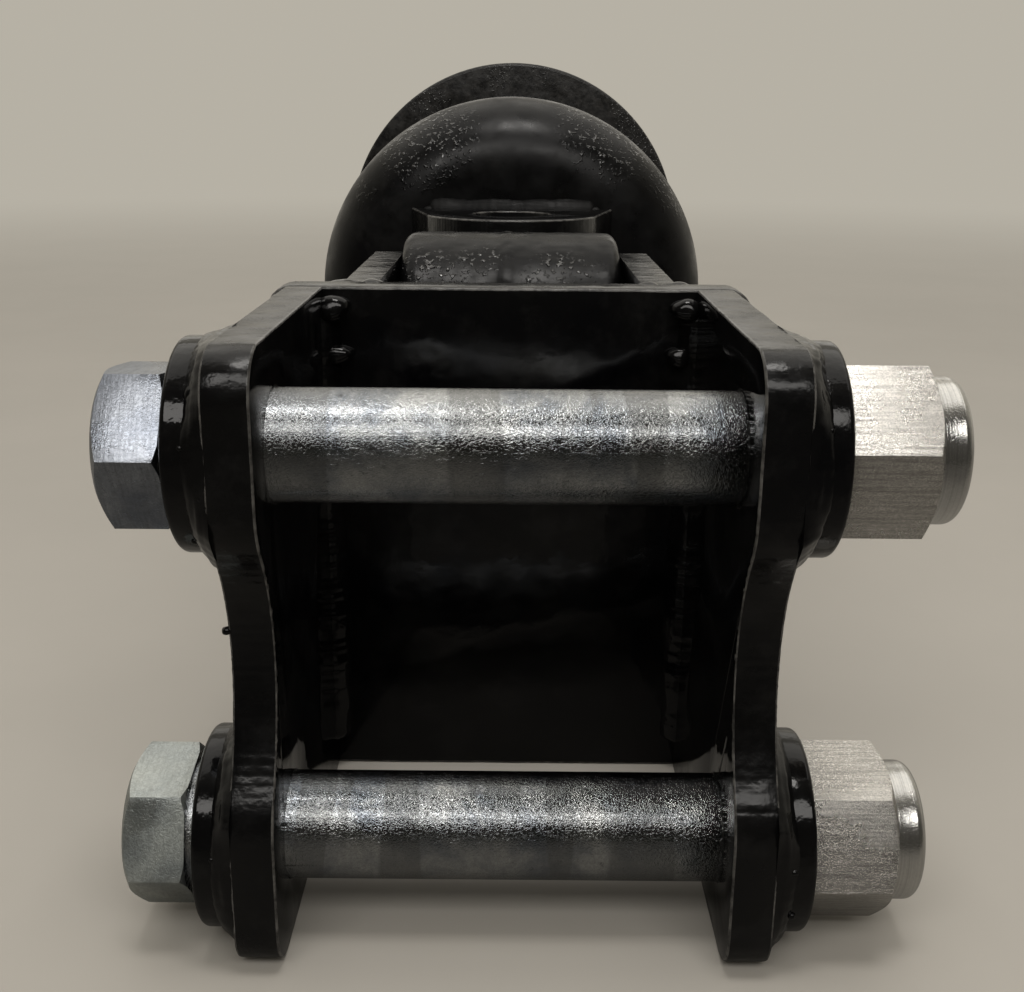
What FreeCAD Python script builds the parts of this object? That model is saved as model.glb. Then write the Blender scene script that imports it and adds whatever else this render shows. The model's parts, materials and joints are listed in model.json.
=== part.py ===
import FreeCAD, Part
import math
import os
import Sketcher

# Earth auger drive with a double pin cradle hitch, lying on its hitch and its gearbox flange.
# Millimetres. Origin where the auger's lock pin crosses the output shaft's axis.
# +Y runs along the drive's axis out of the output shaft, +X along the hitch pins, +Z up.

doc = FreeCAD.newDocument("EarthAugerDrive")

DRIVING_SIZES = {
    # Output shaft and gearbox
    "shaft_radius": 32.5,
    "shaft_reach": 40,
    "shaft_setback": 50,
    "shaft_chamfer": 3,
    "lock_bore_radius": 10.5,
    "journal_radius": 36,
    "output_housing_length": 64,
    "output_nose_radius": 66,
    "output_waist_radius": 74,
    "output_rib_thickness": 10,
    "output_rib_count": 8,
    "output_rib_inset": 4,
    "mount_flange_step": 2.5,
    "mount_flange_thickness": 14,
    "bearing_radius": 52,
    "bearing_width": 20,
    "bearing_ring": 5,
    "bearing_spacing": 10,
    "roller_count": 16,
    "roller_inset": 2,
    "seal_radius": 54,
    "bearing_shoulder": 4,
    "seal_width": 8,
    "ring_housing_length": 56,
    "ring_housing_radius": 108,
    "cover_thickness": 8,
    "plug_hex": 18,
    "plug_head_height": 9,
    "plug_collar_radius": 13,
    "plug_collar_height": 3,
    "plug_boss_height": 2,
    "plug_boss_margin": 2,
    "bolt_edge_margin": 11,
    "bolt_radius": 6,
    "bolt_count": 8,
    "bolt_head_radius": 9,
    "bolt_head_height": 12,
    "blind_hole_floor": 3,
    "screw_end_gap": 1,
    "gear_module": 3,
    "sun_teeth": 12,
    "planet_teeth": 18,
    "planet_count": 3,
    "gear_width": 30,
    "tooth_play": 0.5,
    "planet_pin_radius": 8,
    "carrier_radius": 62,
    "carrier_thickness": 9,
    "carrier_passage": 4,
    "cover_passage": 6,
    # Hydraulic motor
    "motor_shaft_radius": 11,
    "motor_flange_radius": 64,
    "motor_flange_thickness": 14,
    "motor_radius": 45,
    "motor_length": 96,
    "gerotor_radius": 50,
    "gerotor_length": 32,
    "end_cover_radius": 47,
    "end_cover_length": 20,
    "end_cover_chamfer": 4,
    "motor_bolt_circle": 54,
    "motor_bolt_radius": 5,
    "motor_bolt_head_radius": 8,
    "motor_bolt_depth": 6,
    "motor_bolt_count": 4,
    "port_spacing": 40,
    "port_offset": 6,
    "port_block_margin": 1,
    "port_block_reach": 52,
    "port_block_half_height": 22,
    "adapter_length": 18,
    "adapter_hex": 27,
    "adapter_hex_length": 10,
    "adapter_neck_radius": 12,
    "port_thread_radius": 9.3,
    "port_depth": 12,
    # Hood
    "hood_radius": 84.15,
    "hood_wall": 7.1,
    "hood_length": 328,
    "hood_knuckle": 30,
    "hood_flange_thickness": 12,
    "hood_flange_bore": 68,
    "hood_flange_chamfer": 1.5,
    "mouth_weld_leg": 6,
    "window_length": 92,
    "window_height": 66,
    "window_corner": 18,
    "hood_ear_thickness": 12,
    "hood_ear_gap": 54,
    "hood_ear_nose": 34,
    "hood_ear_base": 84,
    "side_pivot_setback": 31,
    # Knuckle and its two pivots
    "pivot_spacing": 62,
    "pivot_pin_radius": 15,
    "bush_wall": 3.5,
    "pitch_barrel_radius": 37,
    "side_barrel_radius": 28,
    "neck_width": 44,
    "neck_height": 40,
    "barrel_rounding": 4.9,
    "knuckle_side_gap": 0.5,
    "flag_thickness": 6,
    "flag_half_width": 11,
    "flag_bolt_hex": 13,
    "pin_end_recess": 3,
    "nipple_radius": 4,
    "nipple_height": 9,
    # Hitch
    "pitch_setback": 94,
    "rear_ear_gap": 75,
    "rear_ear_thickness": 10,
    "rear_ear_radius": 30,
    "rear_ear_root_drop": 66,
    "back_plate_thickness": 12,
    "back_plate_width": 130,
    "back_plate_corner": 6,
    "side_plate_gap": 100,
    "side_plate_thickness": 10,
    "plate_margin": 24.5,
    "front_corner": 11,
    "waist_depth": 13.5,
    "waist_radius": 45,
    "waist_blend": 18,
    "pin_to_back_plate": 73,
    "pin_spacing": 93,
    "dipper_pin_rise": 7,
    "hitch_pin_radius": 12.5,
    "hitch_thread_radius": 12,
    "pin_chamfer": 1.2,
    "boss_radius": 23.4,
    "boss_thickness": 9,
    "boss_chamfer": 0.7,
    "hex_across": 36,
    "head_height": 15,
    "nut_height": 19.5,
    "nut_collar_radius": 16,
    "nut_collar_height": 7.1,
    "washer_face_radius": 17,
    "washer_face_height": 0.8,
    "dipper_pin_stand_off": 1,
    "link_pin_stand_off": 2.3,
    "weld_leg": 8,
    "ear_weld_leg": 7,
    "boss_weld_leg": 4.5,
    "outer_weld_leg": 4,
    # Clearances
    "running_clearance": 0.06,
    "seat_clearance": 0.02,
    "side_clearance": 0.5,
}


# Shares that hold at any size
BEAD_CROWN = 0.62
HEXAGON_TURN = 0.495
CHAMFER_ANGLE = 30
PRESSURE_ANGLE = 25
ROOT_DEPTH = 1.25
TOOTH_STOCK = 1.1
SOCKET_SHARE = 0.8
BEND_STEPS = 6


class Size:
    """A length that carries the spreadsheet formula it was worked out from."""

    def __init__(self, value, formula):
        self.value = float(value)
        self.formula = formula

    def __add__(self, other):
        return Size(self.value + number(other), "(%s + %s)" % (self.formula, text(other)))

    def __sub__(self, other):
        return Size(self.value - number(other), "(%s - %s)" % (self.formula, text(other)))

    def __mul__(self, other):
        return Size(self.value * number(other), "(%s * %s)" % (self.formula, text(other)))

    def __rmul__(self, other):
        return Size(number(other) * self.value, "(%s * %s)" % (text(other), self.formula))

    def __truediv__(self, other):
        return Size(self.value / number(other), "(%s / %s)" % (self.formula, text(other)))

    def __neg__(self):
        return Size(-self.value, "(0 - %s)" % self.formula)


def number(length):
    return length.value if isinstance(length, Size) else float(length)


def text(length):
    return length.formula if isinstance(length, Size) else repr(float(length))


def write_sheet():
    """Puts the driving sizes in the spreadsheet and gives back one Size for each alias."""
    sheet = doc.addObject("Spreadsheet::Sheet", "Dimensions")
    named = {}
    for row, (alias, value) in enumerate(DRIVING_SIZES.items(), start=1):
        sheet.set("A%d" % row, alias)
        sheet.set("B%d" % row, str(value))
        sheet.setAlias("B%d" % row, alias)
    doc.recompute()
    for alias in DRIVING_SIZES:
        named[alias] = Size(sheet.get(alias), "Dimensions." + alias)
    return named


size = write_sheet()

# Stations along the drive's axis, from the output shaft back to the hitch
nose_face = -size["shaft_setback"]
housing_joint = nose_face - size["output_housing_length"]
cover_joint = housing_joint - size["ring_housing_length"]
flange_joint = cover_joint - size["cover_thickness"]
hood_mouth = flange_joint - size["hood_flange_thickness"]
hood_end = hood_mouth - size["hood_length"]
side_pivot_y = hood_end - size["side_pivot_setback"]
pitch_pivot_y = side_pivot_y - size["pivot_spacing"]
plate_rear_y = pitch_pivot_y - size["pitch_setback"]
plate_front_y = plate_rear_y - size["back_plate_thickness"]
pin_line_y = plate_front_y - size["pin_to_back_plate"]
plate_edge_y = pin_line_y - size["plate_margin"]

# Round the gearbox
mount_flange_radius = size["ring_housing_radius"] + size["mount_flange_step"]
bolt_circle_radius = size["ring_housing_radius"] - size["bolt_edge_margin"]

# Heights of the hitch
dipper_pin_z = size["dipper_pin_rise"]
link_pin_z = dipper_pin_z - size["pin_spacing"]
hitch_top_z = dipper_pin_z + size["plate_margin"]
hitch_bottom_z = link_pin_z - size["plate_margin"]
hitch_middle_z = (dipper_pin_z + link_pin_z) / 2

# Faces across the hitch
plate_inside_x = size["side_plate_gap"] / 2
plate_outside_x = plate_inside_x + size["side_plate_thickness"]
boss_face_x = plate_outside_x + size["boss_thickness"]
rear_ear_inside_x = size["rear_ear_gap"] / 2
rear_ear_outside_x = rear_ear_inside_x + size["rear_ear_thickness"]
hitch_bore_radius = size["hitch_pin_radius"] + size["running_clearance"]
pivot_bore_radius = size["pivot_pin_radius"] + size["running_clearance"]
bush_radius = pivot_bore_radius + size["bush_wall"]
hood_ear_face_z = size["hood_ear_gap"] / 2 + size["hood_ear_thickness"]

# Stations of the planetary set
ring_teeth = size["sun_teeth"] + 2 * size["planet_teeth"]
gear_spacing = size["gear_module"] * (size["sun_teeth"] + size["planet_teeth"]) / 2
carrier_front = housing_joint - 4 * size["side_clearance"]
planet_front = carrier_front - size["carrier_thickness"] - size["side_clearance"]
planet_rear = planet_front - size["gear_width"]
carrier_rear = planet_rear - size["side_clearance"] - size["carrier_thickness"]

# Where the two oil plugs sit
plug_y = (cover_joint + housing_joint) / 2
plug_seat_x = size["ring_housing_radius"] + size["plug_boss_height"]

parts = []


# ---------------------------------------------------------------- drawing helpers

def bind(thing, setting, length):
    """Sets a property and ties it to the spreadsheet."""
    if isinstance(length, Size):
        thing.setExpression(setting, length.formula)


def place(thing, x=0, y=0, z=0, axis=(0, 0, 1), angle=0):
    """Puts an object at a place that follows the spreadsheet."""
    base = FreeCAD.Vector(number(x), number(y), number(z))
    turn = FreeCAD.Rotation(FreeCAD.Vector(*axis), angle)
    thing.Placement = FreeCAD.Placement(base, turn)
    for letter, length in (("x", x), ("y", y), ("z", z)):
        bind(thing, "Placement.Base." + letter, length)


def part_body(label, x=0, y=0, z=0, axis=(0, 0, 1), angle=0):
    """An empty body with its own label and place, kept as one of the parts."""
    body = doc.addObject("PartDesign::Body", label)
    body.Label = label
    place(body, x, y, z, axis, angle)
    parts.append(body)
    return body


def sketch_on(body, plane, offset=0):
    """A sketch on one of the body's own planes, moved along that plane's normal."""
    sketch = body.newObject("Sketcher::SketchObject", body.Name + "_sketch")
    support = [feature for feature in body.Origin.OriginFeatures if feature.Role == plane][0]
    sketch.AttachmentSupport = [(support, "")]
    sketch.MapMode = "FlatFace"
    sketch.AttachmentOffset = FreeCAD.Placement(FreeCAD.Vector(0, 0, number(offset)), FreeCAD.Rotation())
    bind(sketch, "AttachmentOffset.Base.z", offset)
    return sketch


def hold_length(sketch, kind, *where_and_value):
    """Adds one dimension to a sketch and ties it to the spreadsheet."""
    where = where_and_value[:-1]
    length = where_and_value[-1]
    index = sketch.addConstraint(Sketcher.Constraint(kind, *where, number(length)))
    bind(sketch, "Constraints[%d]" % index, length)


def hold_point(sketch, curve, end, across, up):
    """Holds one point of a curve at its two coordinates."""
    for kind, axis_line, length in (("DistanceX", -2, across), ("DistanceY", -1, up)):
        if isinstance(length, Size) or length != 0:
            hold_length(sketch, kind, -1, 1, curve, end, length)
        else:
            sketch.addConstraint(Sketcher.Constraint("PointOnObject", curve, end, axis_line))


def flat(across, up):
    return FreeCAD.Vector(number(across), number(up), 0)


def outline(sketch, corners):
    """A closed outline of straight sides through the corners."""
    count = len(corners)
    first = None
    for index, corner in enumerate(corners):
        following = corners[(index + 1) % count]
        line = sketch.addGeometry(Part.LineSegment(flat(*corner), flat(*following)), False)
        first = line if first is None else first
    for index, corner in enumerate(corners):
        following = first + (index + 1) % count
        sketch.addConstraint(Sketcher.Constraint("Coincident", first + index, 2, following, 1))
        hold_point(sketch, first + index, 1, *corner)


def rectangle(sketch, low_across, high_across, low_up, high_up):
    outline(sketch, [(low_across, low_up), (high_across, low_up),
                     (high_across, high_up), (low_across, high_up)])


def circle(sketch, across, up, radius):
    curve = sketch.addGeometry(Part.Circle(flat(across, up), FreeCAD.Vector(0, 0, 1), number(radius)), False)
    hold_point(sketch, curve, 3, across, up)
    hold_length(sketch, "Radius", curve, radius)


def hexagon(sketch, across_flats, angle=0):
    """A regular hexagon about the sketch's origin with a corner at the given angle."""
    corner_radius = across_flats / math.sqrt(3)
    corners = []
    for step in range(6):
        turn = math.radians(angle + 60 * step)
        corners.append((corner_radius * math.cos(turn), corner_radius * math.sin(turn)))
    outline(sketch, corners)


def lug_outline(sketch, centre, radius, first_base, last_base):
    """A round nosed lug: two sides run from its base and touch the nose, counterclockwise."""
    middle = flat(*centre)
    turns = []
    for base, side in ((first_base, 1), (last_base, -1)):
        arm = flat(*base) - middle
        turns.append(math.atan2(arm.y, arm.x) + side * math.acos(number(radius) / arm.Length))
    start, end = turns
    while end < start:
        end = end + 2 * math.pi
    nose = Part.ArcOfCircle(Part.Circle(middle, FreeCAD.Vector(0, 0, 1), number(radius)), start, end)
    side_in = sketch.addGeometry(Part.LineSegment(flat(*first_base), nose.value(start)), False)
    nose_arc = sketch.addGeometry(nose, False)
    side_out = sketch.addGeometry(Part.LineSegment(nose.value(end), flat(*last_base)), False)
    root = sketch.addGeometry(Part.LineSegment(flat(*last_base), flat(*first_base)), False)
    sketch.addConstraint(Sketcher.Constraint("Tangent", side_in, 2, nose_arc, 1))
    sketch.addConstraint(Sketcher.Constraint("Tangent", nose_arc, 2, side_out, 1))
    sketch.addConstraint(Sketcher.Constraint("Coincident", side_out, 2, root, 1))
    sketch.addConstraint(Sketcher.Constraint("Coincident", root, 2, side_in, 1))
    hold_point(sketch, nose_arc, 3, *centre)
    hold_length(sketch, "Radius", nose_arc, radius)
    hold_point(sketch, side_in, 1, *first_base)
    hold_point(sketch, side_out, 2, *last_base)


def pad(body, sketch, length, symmetric=False, reverse=False):
    feature = body.newObject("PartDesign::Pad", body.Name + "_pad")
    feature.Profile = sketch
    feature.SideType = "Symmetric" if symmetric else "One side"
    feature.Reversed = reverse
    feature.Length = number(length)
    bind(feature, "Length", length)
    doc.recompute()
    return feature


def pocket(body, sketch, length=None, reverse=False):
    """Cuts a sketch through the whole body, or to a depth. A cut that misses is an error."""
    before = body.Shape.Volume
    feature = body.newObject("PartDesign::Pocket", body.Name + "_pocket")
    feature.Profile = sketch
    feature.Reversed = reverse
    if length is None:
        feature.Type = "ThroughAll"
        feature.SideType = "Symmetric"
    else:
        feature.Length = number(length)
        bind(feature, "Length", length)
    doc.recompute()
    if body.Shape.Volume >= before:
        raise RuntimeError(body.Label + ": a pocket cuts nothing")
    return feature


def revolve(body, sketch, axis="H_Axis"):
    feature = body.newObject("PartDesign::Revolution", body.Name + "_revolution")
    feature.Profile = sketch
    feature.ReferenceAxis = (sketch, [axis])
    feature.Angle = 360
    doc.recompute()
    return feature


def repeat(body, features, sketch, axis, count):
    """Repeats features evenly all the way round a sketch's axis."""
    pattern = body.newObject("PartDesign::PolarPattern", body.Name + "_pattern")
    pattern.Originals = features
    pattern.Axis = (sketch, [axis])
    pattern.Angle = 360
    pattern.Occurrences = int(number(count))
    bind(pattern, "Occurrences", count)
    body.Tip = pattern
    doc.recompute()
    return pattern


def edges_of(feature, chosen):
    """Names of the feature's edges whose middle point passes a test."""
    names = []
    for index, edge in enumerate(feature.Shape.Edges, start=1):
        middle = edge.valueAt((edge.FirstParameter + edge.LastParameter) / 2)
        if chosen(edge, middle):
            names.append("Edge%d" % index)
    return names


def dress(body, kind, radius, chosen):
    """Rounds or chamfers the chosen edges of the body as it stands."""
    base = body.Tip
    feature = body.newObject("PartDesign::" + kind, body.Name + "_" + kind.lower())
    feature.Base = (base, edges_of(base, chosen))
    setting = "Radius" if kind == "Fillet" else "Size"
    setattr(feature, setting, number(radius))
    bind(feature, setting, radius)
    doc.recompute()
    return feature


def turned_part(label, plane, profile, x=0, y=0, z=0, axis="H_Axis"):
    """A lathe turned part: a closed profile of (along, radius) corners."""
    body = part_body(label, x, y, z)
    sketch = sketch_on(body, plane)
    outline(sketch, profile)
    revolve(body, sketch, axis)
    return body


def near(first, second):
    return abs(number(first) - number(second)) < 0.01


def is_round(edge, radius):
    return isinstance(edge.Curve, Part.Circle) and near(edge.Curve.Radius, radius)


def keep_shape(label, shape, x=0, y=0, z=0, axis=(0, 0, 1), angle=0):
    """A part whose form the sketch tools don't reach, such as teeth or a set of like pieces."""
    thing = doc.addObject("Part::Feature", label)
    thing.Label = label
    thing.Shape = shape
    place(thing, x, y, z, axis, angle)
    parts.append(thing)
    return thing


# ---------------------------------------------------------------- hitch plates

def side_plate(label, inside_x):
    """One cheek of the cradle: waisted front edge, rounded front corners, two pin holes."""
    body = part_body(label, inside_x)
    blank = sketch_on(body, "YZ_Plane")
    rectangle(blank, plate_edge_y, plate_front_y, hitch_bottom_z, hitch_top_z)
    pad(body, blank, size["side_plate_thickness"])
    waist = sketch_on(body, "YZ_Plane")
    waist_centre = plate_edge_y + size["waist_depth"] - size["waist_radius"]
    circle(waist, waist_centre, hitch_middle_z, size["waist_radius"])
    pocket(body, waist)
    holes = sketch_on(body, "YZ_Plane")
    circle(holes, pin_line_y, dipper_pin_z, hitch_bore_radius)
    circle(holes, pin_line_y, link_pin_z, hitch_bore_radius)
    pocket(body, holes)

    def on_front(edge, middle):
        return near(middle.y, plate_edge_y) and near(middle.x, size["side_plate_thickness"] / 2)

    def is_corner(edge, middle):
        height = abs(middle.z - number(hitch_middle_z))
        return on_front(edge, middle) and near(height, (hitch_top_z - hitch_bottom_z) / 2)

    dress(body, "Fillet", size["front_corner"], is_corner)
    dress(body, "Fillet", size["waist_blend"], on_front)
    return body


def hitch_boss(label, side, height):
    """A round reinforcing boss on the outside of a cheek."""
    start = plate_outside_x if side > 0 else -boss_face_x
    end = boss_face_x if side > 0 else -plate_outside_x
    body = turned_part(label, "XY_Plane", [(start, hitch_bore_radius), (end, hitch_bore_radius),
                                           (end, size["boss_radius"]), (start, size["boss_radius"])],
                       y=pin_line_y, z=height)
    outer_face = number(boss_face_x)
    dress(body, "Chamfer", size["boss_chamfer"],
          lambda edge, middle: is_round(edge, size["boss_radius"]) and near(abs(middle.x), outer_face))
    return body


def back_plate():
    body = part_body("back_plate", y=plate_front_y)
    blank = sketch_on(body, "XZ_Plane")
    half = size["back_plate_width"] / 2
    rectangle(blank, -half, half, hitch_bottom_z, hitch_top_z)
    pad(body, blank, size["back_plate_thickness"], reverse=True)

    def is_corner(edge, middle):
        return near(abs(middle.x), half) and near(middle.y, size["back_plate_thickness"] / 2)

    dress(body, "Fillet", size["back_plate_corner"], is_corner)
    return body


def rear_ear(label, inside_x):
    """A gusseted ear behind the back plate that carries the pitch pin."""
    body = part_body(label, inside_x)
    blank = sketch_on(body, "YZ_Plane")
    lug_outline(blank, (pitch_pivot_y, 0), size["rear_ear_radius"],
                (plate_rear_y, -size["rear_ear_root_drop"]), (plate_rear_y, size["rear_ear_radius"]))
    pad(body, blank, size["rear_ear_thickness"])
    bore = sketch_on(body, "YZ_Plane")
    circle(bore, pitch_pivot_y, 0, pivot_bore_radius)
    pocket(body, bore)
    return body


# ---------------------------------------------------------------- weld beads

def bead(corner, first, second, along, leg_end=None):
    """A fillet bead: its corner and its two toes, carried along a straight seam, face bulging."""
    corner = FreeCAD.Vector(*corner)
    first_toe = corner + FreeCAD.Vector(*first)
    second_toe = corner + FreeCAD.Vector(*second)
    crown = corner + (FreeCAD.Vector(*first) + FreeCAD.Vector(*second)) * BEAD_CROWN
    face = Part.Arc(first_toe, crown, second_toe).toShape()
    section = Part.Wire([Part.makeLine(corner, first_toe), face, Part.makeLine(second_toe, corner)])
    return Part.Face(section).extrude(FreeCAD.Vector(*along))


def hitch_welds():
    """The seams between the cheeks and the back plate, inside and outside."""
    leg = number(size["weld_leg"])
    outer_leg = number(size["outer_weld_leg"])
    front = number(plate_front_y)
    low = number(hitch_bottom_z) + leg
    rise = number(hitch_top_z - hitch_bottom_z) - 1.5 * leg
    beads = []
    for side in (-1, 1):
        inside = side * number(plate_inside_x)
        outside = side * number(plate_outside_x)
        beads.append(bead((inside, front, low), (-side * leg, 0, 0), (0, -leg, 0), (0, 0, rise)))
        beads.append(bead((outside, front, low), (side * outer_leg, 0, 0), (0, -leg, 0), (0, 0, rise)))
    keep_shape("hitch_welds", Part.makeCompound(beads))


def boss_welds():
    """A fillet all round each boss, cut off flush with the cheek's outline."""
    leg = number(size["boss_weld_leg"])
    radius = number(size["boss_radius"])
    face = number(plate_outside_x)
    rings = []
    for side in (-1, 1):
        inner = FreeCAD.Vector(side * face, radius, 0)
        root = FreeCAD.Vector(side * face, radius + leg, 0)
        toe = FreeCAD.Vector(side * (face + leg), radius, 0)
        section = Part.Face(Part.makePolygon([inner, root, toe, inner]))
        ring = section.revolve(FreeCAD.Vector(0, 0, 0), FreeCAD.Vector(1, 0, 0), 360)
        for height in (dipper_pin_z, link_pin_z):
            moved = ring.copy()
            moved.translate(FreeCAD.Vector(0, number(pin_line_y), number(height)))
            rings.append(moved.common(cheek_column()))
    keep_shape("boss_welds", Part.makeCompound(rings))


def cheek_column():
    """The cheeks' outline carried right across, which trims what stands past their edges."""
    width = 2 * number(boss_face_x)
    corner = FreeCAD.Vector(-width / 2, number(plate_edge_y), number(hitch_bottom_z))
    depth = number(plate_front_y - plate_edge_y)
    return Part.makeBox(width, depth, number(hitch_top_z - hitch_bottom_z), corner)


def rear_ear_welds():
    leg = number(size["ear_weld_leg"])
    rear = number(plate_rear_y)
    low = -number(size["rear_ear_root_drop"])
    rise = number(size["rear_ear_radius"]) - low
    beads = []
    for side in (-1, 1):
        outside = side * number(rear_ear_outside_x)
        inside = side * number(rear_ear_inside_x)
        beads.append(bead((outside, rear, low), (side * leg, 0, 0), (0, leg, 0), (0, 0, rise)))
        beads.append(bead((inside, rear, low), (-side * leg, 0, 0), (0, leg, 0), (0, 0, rise)))
    keep_shape("rear_ear_welds", Part.makeCompound(beads))


# ---------------------------------------------------------------- hitch pins

def hitch_pin(label, height, stand_off, corner_angle):
    """A hexagon headed pin. Its head is on the -X side and its thread takes a lock nut."""
    bearing_face = -(boss_face_x + stand_off)
    grip_end = boss_face_x - stand_off
    tip = boss_face_x + size["nut_height"] + size["nut_collar_height"] / 2 - stand_off
    body = part_body(label, y=pin_line_y, z=height, axis=(1, 0, 0), angle=corner_angle)
    shank = sketch_on(body, "YZ_Plane", bearing_face)
    circle(shank, 0, 0, size["hitch_pin_radius"])
    pad(body, shank, grip_end - bearing_face)
    thread = sketch_on(body, "YZ_Plane", grip_end)
    circle(thread, 0, 0, size["hitch_thread_radius"])
    pad(body, thread, tip - grip_end)
    dress(body, "Chamfer", size["pin_chamfer"],
          lambda edge, middle: is_round(edge, size["hitch_thread_radius"]) and near(middle.x, tip))
    washer_face = sketch_on(body, "YZ_Plane", bearing_face)
    circle(washer_face, 0, 0, size["washer_face_radius"])
    pad(body, washer_face, size["washer_face_height"], reverse=True)
    underside = bearing_face - size["washer_face_height"]
    head = sketch_on(body, "YZ_Plane", underside)
    hexagon(head, size["hex_across"], 180)
    pad(body, head, size["head_height"] - size["washer_face_height"], reverse=True)
    turn_corners(body, -1, bearing_face - size["head_height"])
    turn_corners(body, 1, underside)
    return body


def turn_corners(body, side, face_x):
    """Turns the corners off one end of a hexagon. side is the way that its face looks along X."""
    start_radius = size["hex_across"] * HEXAGON_TURN
    outside = size["hex_across"] * 2 / 3
    slope = (outside - start_radius) * math.tan(math.radians(CHAMFER_ANGLE))
    sketch = sketch_on(body, "XY_Plane")
    outline(sketch, [(face_x, start_radius), (face_x - side * slope, outside), (face_x, outside)])
    feature = body.newObject("PartDesign::Groove", body.Name + "_groove")
    feature.Profile = sketch
    feature.ReferenceAxis = (sketch, ["H_Axis"])
    feature.Angle = 360
    doc.recompute()


def hitch_nut(label, height, corner_angle):
    """A lock nut: hexagon, then the round collar that holds its nylon ring."""
    body = part_body(label, y=pin_line_y, z=height, axis=(1, 0, 0), angle=corner_angle)
    block = sketch_on(body, "YZ_Plane", boss_face_x)
    hexagon(block, size["hex_across"], 180)
    pad(body, block, size["nut_height"])
    turn_corners(body, 1, boss_face_x + size["nut_height"])
    collar = sketch_on(body, "YZ_Plane", boss_face_x + size["nut_height"])
    circle(collar, 0, 0, size["nut_collar_radius"])
    pad(body, collar, size["nut_collar_height"])
    dress(body, "Fillet", size["nut_collar_height"] / 3,
          lambda edge, middle: is_round(edge, size["nut_collar_radius"])
          and near(middle.x, boss_face_x + size["nut_height"] + size["nut_collar_height"]))
    bore = sketch_on(body, "YZ_Plane")
    circle(bore, 0, 0, size["hitch_thread_radius"] + size["running_clearance"])
    pocket(body, bore)
    return body


# ---------------------------------------------------------------- knuckle and pivot pins

def knuckle():
    """The link between hitch and hood: two crossed barrels and the neck between them."""
    body = part_body("knuckle", y=pitch_pivot_y)
    pitch_half = rear_ear_inside_x - size["knuckle_side_gap"]
    side_half = size["hood_ear_gap"] / 2 - size["knuckle_side_gap"]
    pitch_barrel = sketch_on(body, "YZ_Plane")
    circle(pitch_barrel, 0, 0, size["pitch_barrel_radius"])
    pad(body, pitch_barrel, 2 * pitch_half, symmetric=True)
    dress(body, "Fillet", size["barrel_rounding"],
          lambda edge, middle: is_round(edge, size["pitch_barrel_radius"]))
    neck = sketch_on(body, "XY_Plane")
    half = size["neck_width"] / 2
    rectangle(neck, -half, half, 0, size["pivot_spacing"])
    pad(body, neck, size["neck_height"], symmetric=True)
    side_barrel = sketch_on(body, "XY_Plane")
    circle(side_barrel, 0, size["pivot_spacing"], size["side_barrel_radius"])
    pad(body, side_barrel, 2 * side_half, symmetric=True)
    pitch_bore = sketch_on(body, "YZ_Plane")
    circle(pitch_bore, 0, 0, bush_radius)
    pocket(body, pitch_bore)
    side_bore = sketch_on(body, "XY_Plane")
    circle(side_bore, 0, size["pivot_spacing"], bush_radius)
    pocket(body, side_bore)
    return body


def pivot_bushes():
    """Bronze bushes, one through each barrel."""
    pitch_half = rear_ear_inside_x - size["knuckle_side_gap"]
    side_half = size["hood_ear_gap"] / 2 - size["knuckle_side_gap"]
    outer = bush_radius - size["seat_clearance"]
    turned_part("pitch_bush", "XY_Plane",
                [(-pitch_half, pivot_bore_radius), (pitch_half, pivot_bore_radius),
                 (pitch_half, outer), (-pitch_half, outer)], y=pitch_pivot_y)
    turned_part("side_bush", "XZ_Plane",
                [(pivot_bore_radius, -side_half), (outer, -side_half),
                 (outer, side_half), (pivot_bore_radius, side_half)], y=side_pivot_y, axis="V_Axis")


def flag_pin(label, plane, near_end, far_end, y, flag_reach, flag_direction):
    """A pivot pin with a flag plate welded to its near end, which one bolt holds against its ear."""
    body = part_body(label, y=y)
    shank = sketch_on(body, plane, near_end)
    circle(shank, 0, 0, size["pivot_pin_radius"])
    pad(body, shank, far_end - near_end)
    along = {"YZ_Plane": 0, "XY_Plane": 2}[plane]
    dress(body, "Chamfer", size["pin_chamfer"],
          lambda edge, middle: is_round(edge, size["pivot_pin_radius"]) and near(middle[along], far_end))
    flag = sketch_on(body, plane, near_end - size["flag_thickness"])
    half = size["flag_half_width"]
    reach = (flag_direction[0] * flag_reach, flag_direction[1] * flag_reach)
    side = (-flag_direction[1] * size["pivot_pin_radius"], flag_direction[0] * size["pivot_pin_radius"])
    lug_outline(flag, reach, half, (-1 * side[0], -1 * side[1]), side)
    pad(body, flag, size["flag_thickness"])
    disc = sketch_on(body, plane, near_end - size["flag_thickness"])
    circle(disc, 0, 0, size["pivot_pin_radius"])
    pad(body, disc, size["flag_thickness"])
    return body


def hex_bolt(label, x, y, z, axis, angle):
    """The small bolt that locks a flag plate: its head stands on the plate."""
    body = part_body(label, x, y, z, axis, angle)
    head = sketch_on(body, "XY_Plane")
    hexagon(head, size["flag_bolt_hex"])
    pad(body, head, size["flag_bolt_hex"] / 2)


def grease_nipple(label, x, y, z, axis, angle):
    """A hexagon collar, a neck and a ball end."""
    body = part_body(label, x, y, z, axis, angle)
    tip = size["nipple_height"]
    collar_top = tip * 0.45
    neck_radius = size["nipple_radius"] / 2
    ball_radius = size["nipple_radius"] * 0.8
    collar = sketch_on(body, "XY_Plane")
    hexagon(collar, size["nipple_radius"] * 2)
    pad(body, collar, collar_top)
    stem = sketch_on(body, "XZ_Plane")
    outline(stem, [(0, collar_top / 2), (neck_radius, collar_top / 2), (neck_radius, tip * 0.6),
                   (ball_radius, tip * 0.75), (ball_radius, tip * 0.85), (neck_radius, tip), (0, tip)])
    revolve(body, stem, "V_Axis")


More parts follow.
